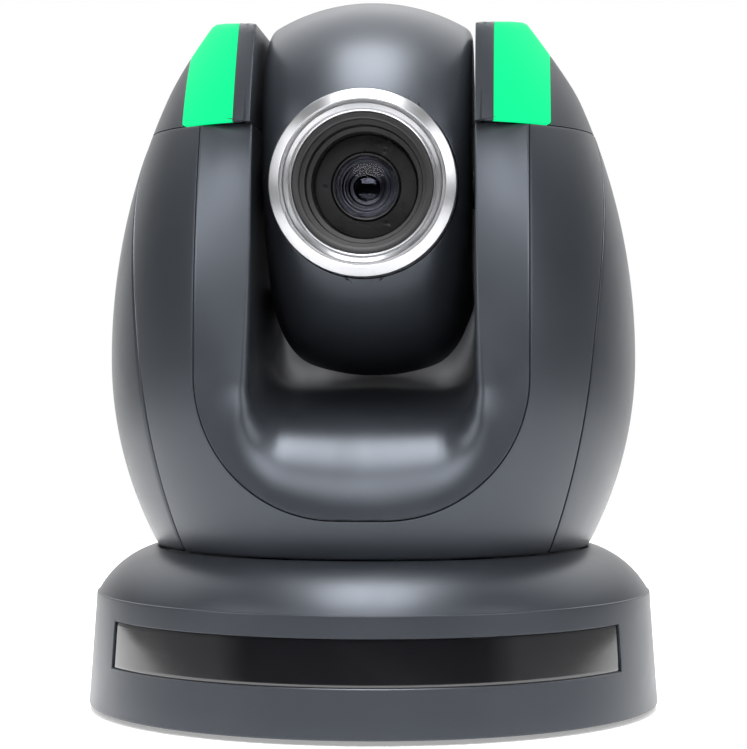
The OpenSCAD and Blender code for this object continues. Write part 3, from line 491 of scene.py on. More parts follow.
class Effects:
    """Effects that several finishes share, each built once."""

    def __init__(self) -> None:
        """Builds the grain, the handling marks, the edge wear and the turning marks."""
        self.grain = self._grain()
        self.marks = self._marks()
        self.wear = self._wear()
        self.turning = self._turning()

    def _grain(self) -> Tree:
        """Fine moulded grain: a height, for a grain pitch in millimetres."""
        tree, start_node, end = group("moulded grain", {"Pitch": 0.5}, ("Height",))
        at = add_node(tree, "TexCoord").outputs["Object"]
        scale = sums(tree, "DIVIDE", 1 / MM, start_node.outputs["Pitch"])
        fine = add_node(tree, "TexNoise", Vector=at, Scale=scale, Detail=2.0, Roughness=0.6)
        cell = add_node(tree, "TexVoronoi", Vector=at, Scale=scale)
        both = sums(tree, "MULTIPLY_ADD", cell.outputs["Distance"], -0.6, fine.outputs["Fac"])
        tree.links.new(both, end.inputs["Height"])
        return tree

    def _marks(self) -> Tree:
        """Broad uneven patches left by moulding and handling: a mask round a half."""
        tree, start_node, end = group("handling marks", {"Size": 30.0}, ("Mask",))
        at = add_node(tree, "TexCoord").outputs["Object"]
        scale = sums(tree, "DIVIDE", 1 / MM, start_node.outputs["Size"])
        wide = add_node(tree, "TexNoise", Vector=at, Scale=scale, Detail=4.0, Roughness=0.55, Distortion=0.6)
        tree.links.new(wide.outputs["Fac"], end.inputs["Mask"])
        return tree

    def _wear(self) -> Tree:
        """Light wear along raised edges: a mask that is 1 on a worn edge."""
        tree, start_node, end = group("edge wear", {"Amount": 0.5}, ("Mask",))
        ridge = remap(tree, add_node(tree, "NewGeometry").outputs["Pointiness"], 0.53, 0.62)
        at = add_node(tree, "TexCoord").outputs["Object"]
        patchy = add_node(tree, "TexNoise", Vector=at, Scale=180.0, Detail=4.0)
        broken = sums(tree, "MULTIPLY", ridge, patchy.outputs["Fac"])
        tree.links.new(sums(tree, "MULTIPLY", broken, start_node.outputs["Amount"]), end.inputs["Mask"])
        return tree

    def _turning(self) -> Tree:
        """Fine rings left by a lathe round the lens axis, at a height in millimetres above the origin."""
        tree, start_node, end = group("turning marks", {"Height": 161.0, "Pitch": 0.12}, ("Rings",))
        part = add_node(tree, "SeparateXYZ", Vector=add_node(tree, "TexCoord").outputs["Object"])
        up = sums(tree, "MULTIPLY_ADD", start_node.outputs["Height"], -MM, part.outputs["Z"])
        flat = add_node(tree, "CombineXYZ", X=part.outputs["X"], Z=up)
        reach = add_node(tree, "VectorMath", operation="LENGTH", i0=flat.outputs[0]).outputs["Value"]
        turns = sums(tree, "MULTIPLY", reach, sums(tree, "DIVIDE", 1 / MM, start_node.outputs["Pitch"]))
        rings = add_node(tree, "TexNoise", noise_dimensions="1D", W=turns, Scale=1.0, Detail=2.0)
        tree.links.new(rings.outputs["Fac"], end.inputs["Rings"])
        return tree


@dataclass(frozen=True)
class Finish:
    """A moulded, painted or plated surface, with its colour, gloss, grain and marks.

    Attributes:
        name: the finish's name.
        colour: its base colour.
        roughness: its mean roughness.
        metallic: 1 for bare metal.
        spread: how far the roughness wanders.
        tint: how far the colour wanders.
        pitch: size of its grain in millimetres.
        depth: depth of its grain in millimetres.
        worn: how light its edges are rubbed.
        coat: strength of a clear coat.
        sheen: tint of its plain reflection.
    """

    name: str
    colour: tuple[float, float, float]
    roughness: float
    metallic: float = 0.0
    spread: float = 0.12
    tint: float = 0.12
    pitch: float = 0.4
    depth: float = 0.01
    worn: float = 0.15
    coat: float = 0.0
    sheen: tuple[float, float, float] = (1.0, 1.0, 1.0)

    def build(self, fx: Effects) -> Mat:
        """Makes the material.

        Args:
            fx: the shared effects.

        Returns:
            The material.
        """
        s = Shader(self.name)
        s.set(Metallic=self.metallic, Coat_Weight=self.coat, Coat_Roughness=0.08,
              Specular_Tint=self.sheen + (1,))
        mask = s.use(fx.marks, Size=28.0).outputs["Mask"]
        pale = tuple(min(c * (1 + self.tint), 1) for c in self.colour) + (1,)
        rubbed = tuple(mix(c, 0.8, 0.5) if self.metallic else c * 1.8 + 0.01 for c in self.colour) + (1,)
        plain = s.blend(mask, tone(self.colour, 1 - self.tint), pale)
        worn = s.blend(s.use(fx.wear, Amount=self.worn).outputs["Mask"], plain, rubbed)
        s.feed(Base_Color=worn, Roughness=self.gloss(s, mask, 0.3, 0.7))
        s.bump(s.use(fx.grain, Pitch=self.pitch).outputs["Height"], self.depth)
        return s.mat

    def gloss(self, s: Shader, mask: Socket, start_at: float, end_at: float) -> Socket:
        """Returns a roughness that wanders round its mean with a mask."""
        half = self.spread / 2
        return remap(s.tree, mask, start_at, end_at, self.roughness - half, self.roughness + half)


@dataclass(frozen=True)
class Turned(Finish):
    """Bare metal with lathe marks round the lens axis, at a height above the origin."""

    height: float = middle("lens_bezel")
    ring_pitch: float = 0.12

    def build(self, fx: Effects) -> Mat:
        """Makes the material from the shared effects and returns it."""
        s = Shader(self.name)
        s.set(Metallic=1.0)
        rings = s.use(fx.turning, Height=self.height, Pitch=self.ring_pitch).outputs["Rings"]
        mask = s.use(fx.marks, Size=12.0).outputs["Mask"]
        both = sums(s.tree, "MULTIPLY_ADD", rings, 0.7, mask)
        s.feed(Base_Color=s.blend(rings, tone(self.colour, 0.82), tone(self.colour)),
               Roughness=self.gloss(s, both, 0.5, 1.2))
        s.bump(rings, self.depth)
        return s.mat


@dataclass(frozen=True)
class Lamp:
    """A lit diffuser with faint uneven brightness.

    Attributes:
        name: the finish's name.
        colour: its colour when lit.
        strength: how bright it glows.
    """

    name: str
    colour: tuple[float, float, float]
    strength: float

    def build(self, fx: Effects) -> Mat:
        """Makes the material from the shared effects and returns it."""
        s = Shader(self.name)
        s.set(Roughness=0.5, Emission_Strength=self.strength, Specular_IOR_Level=0.06,
              Base_Color=tone(self.colour, 0.05))
        mask = s.use(fx.marks, Size=14.0).outputs["Mask"]
        s.feed(Emission_Color=s.blend(mask, tone(self.colour, 0.94), tone(self.colour)))
        s.bump(s.use(fx.grain, Pitch=0.8).outputs["Height"], 0.004)
        return s.mat


@dataclass(frozen=True)
class CoatedGlass:
    """Dark coated lens glass, with a painted reflection: the coating's tinted sheen is painted into its
    colour towards its rim.

    Attributes:
        name: the finish's name.
        colour: the colour deep in the glass.
        painted_coat_sheen: the colour of its coating's reflection, painted into the colour towards the rim as
            a painted reflection.
    """

    name: str
    colour: tuple[float, float, float]
    painted_coat_sheen: tuple[float, float, float]

    def build(self, fx: Effects) -> Mat:
        """Makes the material from the shared effects and returns it."""
        s = Shader(self.name)
        s.set(Coat_Weight=0.1, Coat_Roughness=0.015, IOR=1.3)
        # Painted reflection: the coating's tinted sheen is painted into the base colour at grazing angles,
        # towards the glass's rim.
        rim = s.add("LayerWeight", Blend=0.35).outputs["Facing"]
        mask = s.use(fx.marks, Size=6.0).outputs["Mask"]
        s.feed(Base_Color=s.blend(rim, tone(self.colour), tone(self.painted_coat_sheen)),
               Roughness=remap(s.tree, mask, 0.2, 0.8, 0.02, 0.06))
        return s.mat


@dataclass(frozen=True)
class ClearGlass:
    """Clear glass that shows what lies behind it.

    Attributes:
        name: the finish's name.
        colour: the tint that it gives.
    """

    name: str
    colour: tuple[float, float, float]

    def build(self, _fx: Effects) -> Mat:
        """Makes the material and returns it."""
        s = Shader(self.name)
        s.set(Transmission_Weight=1.0, Roughness=0.0, IOR=1.16, Base_Color=tone(self.colour))
        return s.mat


@dataclass(frozen=True)
class Board:
    """A circuit board with lacquer, copper runs under it and plated pads.

    Attributes:
        name: the finish's name.
        colour: the lacquer's colour.
    """

    name: str
    colour: tuple[float, float, float]

    def build(self, fx: Effects) -> Mat:
        """Makes the material from the shared effects and returns it."""
        s = Shader(self.name)
        s.set(Coat_Weight=0.3)
        at = s.coords.outputs["Object"]
        runs = s.add("TexBrick", Vector=at, Scale=220.0, Mortar_Size=0.012, Color1=(1, 1, 1, 1),
                     Color2=(0.6, 0.6, 0.6, 1), Mortar=(0, 0, 0, 1))
        pads = s.add("TexVoronoi", Vector=at, Scale=330.0)
        dot = remap(s.tree, pads.outputs["Distance"], 0.16, 0.12)
        lacquer = s.blend(runs.outputs["Color"], tone(self.colour, 1.9), tone(self.colour))
        plated = s.blend(dot, lacquer, (0.72, 0.6, 0.36, 1))
        s.feed(Base_Color=plated, Metallic=dot, Roughness=remap(s.tree, dot, 0.0, 1.0, 0.4, 0.28))
        s.bump(runs.outputs["Fac"], 0.02)
        return s.mat


FINISHES: tuple = (
    Finish("body_plastic", (0.0115, 0.0132, 0.0158), 0.36, pitch=0.32, depth=0.008, tint=0.08, spread=0.05,
           sheen=(0.9, 0.98, 1.12)),
    Finish("window_plastic", (0.004, 0.004, 0.005), 0.09, pitch=2.0, depth=0.002, spread=0.06, worn=0.05,
           coat=0.6),
    Lamp("tally_plastic", (0.001, 1.0, 0.31), 1.0),
    Finish("black_plastic", (0.012, 0.012, 0.013), 0.48, pitch=0.25, depth=0.01),
    Finish("white_plastic", (0.75, 0.75, 0.72), 0.45, tint=0.06, worn=0.0),
    Finish("blue_plastic", (0.03, 0.07, 0.28), 0.42, worn=0.1),
    Finish("barrel_black", (0.003, 0.003, 0.0034), 0.42, pitch=0.25, depth=0.006, worn=0.0),
    Finish("disc_black", (0.004, 0.0045, 0.005), 0.28, pitch=0.25, depth=0.004, worn=0.0),
    Turned("bezel_aluminium", (0.46, 0.465, 0.48), 0.3, spread=0.08, depth=0.004),
    Finish("cast_aluminium", (0.52, 0.53, 0.54), 0.5, metallic=1.0, pitch=0.9, depth=0.03),
    Finish("dark_metal", (0.03, 0.03, 0.034), 0.5, metallic=0.2, pitch=0.3, depth=0.02),
    Finish("steel", (0.56, 0.56, 0.57), 0.32, metallic=1.0, pitch=0.3, depth=0.006),
    Finish("tin_plate", (0.66, 0.66, 0.65), 0.25, metallic=1.0, pitch=1.5, depth=0.008),
    Finish("brass", (0.72, 0.52, 0.22), 0.3, metallic=1.0, pitch=0.3, depth=0.005),
    Finish("rubber", (0.014, 0.014, 0.014), 0.8, pitch=0.6, depth=0.03, tint=0.2),
    Board("circuit_board", (0.006, 0.07, 0.03)),
    # The lens glass's second colour is a painted reflection of its coating, laid in towards the rim.
    CoatedGlass("lens_glass", (0.002, 0.002, 0.003), (0.012, 0.009, 0.02)),
    ClearGlass("clear_glass", (0.78, 0.8, 0.92)),
)


class Workshop:
    """Holds the materials and hands finished pieces over to the frame."""

    def __init__(self) -> None:
        """Builds every finish once."""
        fx = Effects()
        self.mats: dict[str, Mat] = {finish.name: finish.build(fx) for finish in FINISHES}
        self.taken: set[str] = set()

    def deliver(self, obj: Obj, finish: str, body: Body, *nodes: str, own: Optional[Mat] = None) -> Obj:
        """Gives a piece its material and its place in the assembly.

        Args:
            obj: the finished piece.
            finish: its material slot.
            body: the body that it rides on.
            nodes: the CAD nodes that it stands for.
            own: a material of its own, where the slot's isn't used.

        Returns:
            The piece.
        """
        obj.data.materials.clear()
        obj.data.materials.append(own or self.mats[finish])
        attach(obj, body.value)
        if nodes:
            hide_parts(*nodes)
            self.taken.update(nodes)
        log.info("%s: %d faces, %s, rides on %s", obj.name, len(obj.data.polygons), finish, body.value)
        return obj

    def dress_frame(self) -> None:
        """Gives every CAD node that is still shown its procedural material."""
        slots = {part["node"]: part["material_slot"] for part in frame["record"]["subparts"]}
        for name, obj in frame["nodes"].items():
            if name in self.taken:
                continue
            finish = slots[name]
            obj.data.materials.clear()
            obj.data.materials.append(self.mats[finish])
            log.info("%s: CAD node in %s", name, finish)


# ------------------------------------------------------------------ turret


@dataclass
class Envelope:
    """Egg-shaped outline of the turret, in millimetres.

    Attributes:
        waist_z: height of its widest place.
        upper_r: radius of the side outline above the waist.
        lower_r: radius of the side outline below it.
    """

    waist_z: float = 108.0
    upper_r: float = 196.0
    lower_r: float = 120.0
    waist_r: float = field(default_factory=lambda: high("right_side_cover").x)

    def radius(self, z: float) -> float:
        """Returns the radius at a height."""
        arc = self.upper_r if z > self.waist_z else self.lower_r
        return self.waist_r - arc + math.sqrt(arc**2 - (z - self.waist_z) ** 2)

    def height(self, r: float) -> float:
        """Returns the height above the waist where the radius is r."""
        return self.waist_z + math.sqrt(self.upper_r**2 - (r - self.waist_r + self.upper_r) ** 2)

    def front(self, x: float, z: float) -> float:
        """Returns the depth y of the front surface at x and z."""
        return -math.sqrt(max(self.radius(z) ** 2 - x * x, 0.0))

    def spot(self, turn: float, z: float, lift: float = 0.0) -> Point:
        """Returns a surface point.

        Args:
            turn: angle from the front towards +X, in radians.
            z: its height.
            lift: how far it stands proud.

        Returns:
            The point.
        """
        r = self.radius(z) + lift
        return r * math.sin(turn), -r * math.cos(turn), z


@dataclass
class TurretShells:
    """Covers, cradle, arm caps and tally lenses that make up the turret.

    Attributes:
        seam: visible gap between two mouldings.
        u_half: half width of the U edge.
        u_corner: corner radius of the U edge.
        u_bottom: height of its lowest point.
        u_centre: height where its corners start.
        slot_corner: radius where a slot wall meets the lip.
        lip_z: height where the scoop's floor would meet the forward face.
        lip_y: depth of that place at the middle.
        floor_slope: how steeply the scoop's floor rises towards the back, in degrees.
        trough_z: height of the trough right below the head.
        arc_share: where the corners start and end, as a share of half the U's length.
        vesica_r: radius of the side seams.
        vesica_d: distance of their centres in front of the axis.
        vesica_z: height of their centres.
        wall: wall of the mouldings.
        core: a point inside the turret.
        proud: how far the side covers stand out.
        lip_share: share of a corner's radius that is stepped like the flat bottom.
    """

    shop: Workshop
    skin: Envelope = field(default_factory=Envelope)
    seam: float = 0.36
    u_half: float = 48.6
    u_corner: float = 41.2
    u_bottom: float = 62.1
    u_centre: float = 103.3
    slot_corner: float = 11.0
    lip_z: float = 87.5
    lip_y: float = -71.6
    floor_slope: float = 12.0
    trough_z: float = 99.2
    arc_share: Pair = (0.12, 0.42)
    vesica_r: float = 104.5
    vesica_d: float = -57.0
    vesica_z: float = 92.0
    wall: float = 2.5
    core: Point = (0, 0, 110)
    proud: float = 0.12
    lip_share: float = 0.32
    slot_h: float = field(default_factory=lambda: low("right_arm_cap").x)
    foot_z: float = field(default_factory=lambda: low("front_cover").z)
    top_z: float = field(default_factory=lambda: high("front_cover").z)
    cap_z: float = field(default_factory=lambda: low("right_arm_cap").z)
    peak_z: float = field(default_factory=lambda: high("right_arm_cap").z)
    tilt_z: float = field(default_factory=lambda: middle("tilt_axles"))

    def side_depth(self, z: float, grow: float = 0.0) -> float:
        """Returns how far in front of the axis the side seam lies at a height."""
        return self.vesica_d + math.sqrt((self.vesica_r + grow) ** 2 - (z - self.vesica_z) ** 2)

    def side_turn(self, z: float, grow: float = 0.0) -> float:
        """Returns the side seam's angle from the front at a height, in radians."""
        return math.acos(self.side_depth(z, grow) / self.skin.radius(z))

    def u_edge(self, a: float, grow: float) -> Pair:
        """Returns x and z on the right half of the U edge.

        Args:
            a: 0 at the bottom middle, 1 at the top.
            grow: how far the edge is moved outwards.

        Returns:
            The point in the front view.
        """
        a0, a1 = self.arc_share
        flat = self.u_half - self.u_corner
        r = self.u_corner + grow
        reach = (flat + self.u_corner * self.lip_share) * a / a0
        if reach < flat:
            return reach, self.u_bottom - grow
        if a < a1:
            share = mix(self.lip_share, math.pi / 2, (a - a0) / (a1 - a0))
            w = (reach - flat) / self.u_corner if a < a0 else share
            return flat + r * math.sin(w), self.u_centre - r * math.cos(w)
        return self.u_half + grow, mix(self.u_centre, self.top_z, (a - a1) / (1 - a1))

    def front_cover(self) -> None:
        """Builds the front cover between the U edge and the side seams."""
        a0, a1 = self.arc_share
        corner = 0.27
        turn = self.side_turn(self.foot_z, self.seam / 2)
        keys = [(corner, self.foot_z), (a1, 84.0), (0.7, 126.0), (1.0, self.top_z)]

        def place(u: float, v: float) -> Point:
            """Returns the point between the U edge (v 0) and the outer border (v 1)."""
            a, side = halves(u)
            x, z = self.u_edge(a, self.seam / 2)
            inner = math.asin(x / self.skin.radius(z))
            if a < corner:
                outer, z1 = turn * a / corner, self.foot_z
            else:
                z1 = mix(keys[0][1], keys[1][1], (a - corner) / (a1 - corner)) if a < a1 else along(keys, a)
                z1 = min(z1, self.top_z)
                outer = self.side_turn(z1, self.seam / 2)
            return self.skin.spot(side * mix(inner, outer, v), mix(z, z1, v))

        obj = sheet("front_cover_shell", 240, 22, place, self.core)
        thicken(obj, self.wall)
        soften(obj, 0.3)
        smooth(obj)
        self.shop.deliver(obj, "body_plastic", Body.TURRET, "front_cover")

    def rear_cover(self) -> None:
        """Builds the rear cover round the slot, with its cooling slots."""
        half = self.slot_h + self.wall + self.seam / 2
        floor = high("rear_cover").z - (self.top_z - 125.35)
        corner = 4.0
        flat_end, corner_end, foot_end = 0.35, 0.5, 0.42
        turn = self.side_turn(self.foot_z, self.seam / 2)

        def edge(a: float) -> Pair:
            """Returns x and z on the slot's edge, from the bottom middle up."""
            if a < flat_end:
                return (half - corner) * a / flat_end, floor
            if a < corner_end:
                w = (a - flat_end) / (corner_end - flat_end) * math.pi / 2
                return half - corner + corner * math.sin(w), floor + corner - corner * math.cos(w)
            return half, mix(floor + corner, self.top_z, (a - corner_end) / (1 - corner_end))

        def place(u: float, v: float) -> Point:
            """Returns the point between the slot (v 0) and the outer border (v 1)."""
            a, side = halves(u)
            x, z = edge(a)
            inner = math.asin(x / self.skin.radius(z))
            if a < foot_end:
                outer, z1 = turn * a / foot_end, self.foot_z
            else:
                z1 = mix(self.foot_z, self.top_z, (a - foot_end) / (1 - foot_end))
                outer = self.side_turn(z1, self.seam / 2)
            px, py, pz = self.skin.spot(side * mix(inner, outer, v), mix(z, z1, v))
            return px, -py, pz

        obj = sheet("rear_cover_shell", 160, 40, place, self.core)
        thicken(obj, self.wall)
        carve(obj, self.vent_tools())
        soften(obj, 0.25)
        smooth(obj)
        self.shop.deliver(obj, "body_plastic", Body.TURRET, "rear_cover")

    def vent_tools(self) -> Obj:
        """Makes the cutter for the row of cooling slots, fanned round the axis."""
        slots, step = 11, 6
        half, bottom, top, round_by = 1.1, 66, 88, 1.05
        tools = []
        for i in range(slots):
            w = math.radians((i - slots // 2) * step)
            tool = block("vent_tool", (-half, self.skin.waist_r - 14, bottom),
                         (half, self.skin.waist_r + 6, top), round_by, 4)
            for v in tool.data.vertices:
                x, y = v.co.x, v.co.y
                v.co.x, v.co.y = x * math.cos(w) + y * math.sin(w), y * math.cos(w) - x * math.sin(w)
            tools.append(tool)
        return join("vent_tools", tools)

    def side_covers(self) -> None:
        """Builds both side covers between their curved seams, a hair proud of the turret."""

        def place(u: float, v: float) -> Point:
            """Returns the point at u from the front seam to the rear seam and v upwards."""
            z = mix(self.foot_z, self.top_z, v)
            first = self.side_turn(z, -self.seam / 2)
            return self.skin.spot(mix(first, math.pi - first, u), z, self.proud)

        right = sheet("right_side_shell", 44, 90, place, self.core)
        thicken(right, self.wall)
        soften(right, 0.3)
        smooth(right)
        left = twin(right, "left_side_shell")
        self.shop.deliver(right, "body_plastic", Body.TURRET, "right_side_cover")
        self.shop.deliver(left, "body_plastic", Body.TURRET, "left_side_cover")

    def floor_under_head(self, y: float) -> float:
        """Returns the height of the scoop's floor and of the trough behind it, at a depth."""
        shelf = 128.0
        if y > 50:
            return shelf
        if y > 0:
            return min(self.tilt_z - math.sqrt((self.tilt_z - self.trough_z) ** 2 - y * y), shelf)
        rise = self.lip_z + (y - self.lip_y) * math.tan(math.radians(self.floor_slope))
        return soft_min(rise, self.trough_z, 2.0)

    def cradle(self) -> None:
        """Builds the U-shaped insert: forward faces, rounded lip, slot walls and trough."""
        a0, a1 = self.arc_share
        r = self.slot_corner
        flat = self.slot_h - r
        top = self.top_z
        depth = [(0.0, -self.lip_y), (a0, 70.2), (0.27, 67.6), (a1, 64.0), (0.55, 61.6), (0.65, 59.8),
                 (0.77, 57.6), (1.0, 54.0)]
        roll = [(0.0, 25.0), (a0, 22.5), (0.2, 17.5), (0.27, 11.0), (0.34, 5.6), (a1, 3.2), (0.53, 2.0),
                (0.65, 1.3), (0.8, 0.8), (1.0, 0.6)]
        face_share, roll_share = 0.26, 0.52

        def corner(a: float) -> Vector:
            """Returns the sharp corner where the forward face would meet the wall or floor."""
            y = -along(depth, a)
            level = self.floor_under_head(y)
            if a < a0:
                x, z = flat * a / a0, level
            elif a < a1:
                w = (a - a0) / (a1 - a0) * math.pi / 2
                x, z = flat + r * math.sin(w), level + r - r * math.cos(w)
            else:
                x, z = self.slot_h, mix(level + r, top, (a - a1) / (1 - a1))
            return Vector((x, y, z))

        def behind(knee: Vector, y: float) -> Vector:
            """Returns the point at a depth on the wall or floor that runs back from a corner."""
            share = (top - self.floor_under_head(y)) / (top - self.floor_under_head(knee.y))
            return Vector((knee.x, y, top - (top - knee.z) * share))

        def place(u: float, v: float) -> Point:
            """Returns the point at u along the U and v from its edge back through the slot."""
            a, side = halves(u)
            x, z = self.u_edge(a, -self.seam / 2)
            edge = Vector((x, self.skin.front(x, z), z))
            knee = corner(a)
            face = knee - edge
            d = min(along(roll, a), face.length * 0.96)
            near = knee - face.normalized() * d
            far = behind(knee, knee.y + d)
            if v < face_share:
                p = edge.lerp(near, v / face_share)
            elif v < roll_share:
                t = (v - face_share) / (roll_share - face_share)
                p = rounded(near, knee, far, 0.58, t)
            else:
                t = (v - roll_share) / (1 - roll_share)
                back = 70.0
                for _ in range(4):
                    reach = self.skin.radius(behind(knee, back).z)
                    back = math.sqrt(max(reach**2 - knee.x**2, 1.0)) - 0.1
                p = behind(knee, mix(far.y, back, t))
            return side * p.x, p.y, p.z

        obj = sheet("cradle_insert", 260, 84, place, (0, 20, 150), -1)
        thicken(obj, self.wall)
        carve(obj, rod("axle_tool", 8.0, (-60, 60), "X", (0, self.tilt_z)))
        soften(obj, 0.3, 50)
        smooth(obj, 40)
        self.shop.deliver(obj, "body_plastic", Body.TURRET, "cradle")

    def cap_top(self, x: float, y: float) -> float:
        """Returns the height of the arm top over a plan point, with its ridge and edges rounded."""
        peak_x = self.slot_h + 15
        inner = self.peak_z + 0.3 - (peak_x - x) * 2.3 / 15
        outer = self.peak_z + 0.3 - (x - peak_x) * 1.29
        roof = soft_min(inner, outer, 1.0)
        return soft_min(roof, self.skin.height(min(math.hypot(x, y), self.skin.waist_r - 1)), 1.6)

    def cap_spot(self, x: float, y: float, drop: float) -> Point:
        """Returns a point on the arm top, sunk square to its surface by drop."""
        e = 0.05
        z = self.cap_top(x, y)
        n = Vector(((self.cap_top(x - e, y) - self.cap_top(x + e, y)) / (2 * e),
                    (self.cap_top(x, y - e) - self.cap_top(x, y + e)) / (2 * e), 1.0)).normalized()
        return x - n.x * drop, y - n.y * drop, z - n.z * drop

    def arm_caps(self) -> None:
        """Builds both arm caps with the channel that the tally lens lies in, and both lenses."""
        band = (self.slot_h + 5.6, self.skin.waist_r - 26.5)
        rim = self.skin.radius(self.cap_z)
        sunk = 1.7
        columns: list[tuple[float, float, float]] = [(self.slot_h, 0.0, s) for s in (0.0, 0.3, 0.6, 0.85)]
        columns += [(mix(self.slot_h, band[0], t / 6), 0.0, 1.0) for t in range(7)]
        columns += [(mix(band[0] + 0.02, band[1] - 0.02, t / 12), sunk, 1.0) for t in range(13)]
        turn = math.acos(band[1] / rim)
        columns += [(rim * math.cos(turn * (1 - t / 18)), 0.0, 1.0) for t in range(19)]

        def place(u: float, v: float) -> Point:
            """Returns the cap's point at column u and at v from front to rear."""
            x, drop, share = columns[round(u * (len(columns) - 1))]
            reach = math.sqrt(max(rim * rim - x * x, 0.0))
            y = reach * math.sin((v - 0.5) * math.pi)
            if reach < 0.01:
                return x, 0.0, self.cap_z
            px, py, pz = self.cap_spot(x, y, drop)
            return px, py, mix(self.cap_z, max(pz, self.cap_z), share)

        cap = sheet("right_cap_shell", len(columns) - 1, 72, place, (50, 0, 180))
        thicken(cap, 2.0)
        self.level_rim(cap)
        soften(cap, 0.35, 50)
        smooth(cap, 40)

        c, r = 0.1, 1.2
        edge_x = [0.0, 0.1, 0.35, 0.75, r]
        wide = band[1] - band[0] - 2 * c
        lens_x = edge_x + [mix(r, wide - r, t / 10) for t in range(1, 10)]
        lens_x += [wide - t for t in reversed(edge_x)]

        def glow(u: float, v: float) -> Point:
            """Returns the lens's point at column u and at v from front to rear."""
            dx = lens_x[round(u * (len(lens_x) - 1))]
            side = min(dx, wide - dx)
            lift = 0.12 + (r - math.sqrt(max(r * r - (r - side) ** 2, 0.0)) if side < r else 0.0)
            x = band[0] + c + dx
            reach = math.sqrt(self.skin.radius(self.cap_z + lift) ** 2 - x * x)
            return self.cap_spot(x, reach * math.sin((v - 0.5) * math.pi), 0.0)

        lens = sheet("right_tally_glow", len(lens_x) - 1, 72, glow, (50, 0, 180))
        thicken(lens, 1.5)
        self.level_rim(lens)
        soften(lens, 0.12, 50)
        smooth(lens, 40)
        for obj, slot, right, left in ((cap, "body_plastic", "right_arm_cap", "left_arm_cap"),
                                       (lens, "tally_plastic", "right_tally_lens", "left_tally_lens")):
            other = twin(obj, obj.name.replace("right", "left"))
            self.shop.deliver(obj, slot, Body.TURRET, right)
            self.shop.deliver(other, slot, Body.TURRET, left)

    def level_rim(self, obj: Obj) -> None:
        """Lifts whatever hangs below the seam under an arm cap up to it."""
        for v in obj.data.vertices:
            v.co.z = max(v.co.z, self.cap_z * MM)

    def build(self) -> None:
        """Builds every turret piece in order."""
        self.front_cover()
        self.rear_cover()
        self.side_covers()
        self.cradle()
        self.arm_caps()


# ------------------------------------------------------------------ head


@dataclass
class BallHead:
    """Ball head, cut flat at both sides, in a front and a rear shell.

    Attributes:
        split: depth of the seam between the shells.
        seam: visible gap between them.
        hole: radius of the openings for the axles.
        wall: wall of the shells.
        dome_end: where the ball's crown ends, as a share from the middle to the side.
        edge_end: where its rounded edge ends.
    """

    shop: Workshop
    split: float = 8.0
    seam: float = 0.3
    hole: float = 6.3
    wall: float = 1.8
    dome_end: float = 0.45
    edge_end: float = 0.8
    half: float = field(default_factory=lambda: high("head_rear_shell").x)
    radius: float = field(default_factory=lambda: high("head_rear_shell").y)
    tilt_z: float = field(default_factory=lambda: middle("tilt_axles"))
    lens_z: float = field(default_factory=lambda: middle("lens_bezel"))
    lens_r: float = field(default_factory=lambda: high("lens_bezel").x + 0.3)

    def roundness(self, up: float) -> float:
        """Returns how round the side edges are, from 0 to 1.

        Args:
            up: angle round the tilt axis in degrees, 0 at the lens and 90 at the top.
        """
        keys = [(-180.0, 0.03), (-135.0, 0.04), (-105.0, 0.85), (-60.0, 1.0), (-30.0, 0.92), (0.0, 0.55),
                (35.0, 0.16), (65.0, 0.03), (180.0, 0.03)]
        up = (up + 180) % 360 - 180
        return along(keys, up) if up > -179 else 0.08

    def surface(self) -> Obj:
        """Builds the whole ball with its flat sides as one open surface."""

        def place(u: float, v: float) -> Point:
            """Returns the point at u round the tilt axis and v from one side to the other."""
            turn = 2 * math.pi * u
            f = self.roundness(math.degrees(turn))
            w, side = halves(v)
            x_f = mix(self.half - 2.2, 18.0, f)
            low_r = mix(math.sqrt(self.radius**2 - self.half**2) - 2.4, 27.5, f)
            if w < self.dome_end:
                x = x_f * w / self.dome_end
                r = math.sqrt(self.radius**2 - x * x)
            elif w < self.edge_end:
                crown = Vector((x_f, math.sqrt(self.radius**2 - x_f**2)))
                slope = -crown.x / crown.y
                knee = Vector((self.half, crown.y + slope * (self.half - crown.x)))
                t = (w - self.dome_end) / (self.edge_end - self.dome_end)
                x, r = rounded(crown, knee, Vector((self.half, low_r)), 0.62, t)
            else:
                x, r = self.half, mix(low_r, self.hole, (w - self.edge_end) / (1 - self.edge_end))
            return side * x, -r * math.cos(turn), self.tilt_z + r * math.sin(turn)

        return sheet("ball", 192, 72, place, (0, 0, self.tilt_z))

    def build(self) -> None:
        """Builds the front shell with its lens opening, and the rear shell."""
        for name, node, sign in (("head_front_cover", "head_front_shell", -1),
                                 ("head_rear_cover", "head_rear_shell", 1)):
            obj = self.surface()
            obj.name = name
            at = Vector((0, self.split + sign * self.seam / 2, 0)) * MM
            edit(obj, lambda: bpy.ops.mesh.bisect(plane_co=at, plane_no=(0, sign, 0), clear_inner=True))
            thicken(obj, self.wall)
            if sign < 0:
                carve(obj, rod("lens_tool", self.lens_r, (-70, -30), "Y", (0, self.lens_z), 160))
            soften(obj, 0.25, 50)
            smooth(obj, 40)
            self.shop.deliver(obj, "body_plastic", Body.HEAD, node)


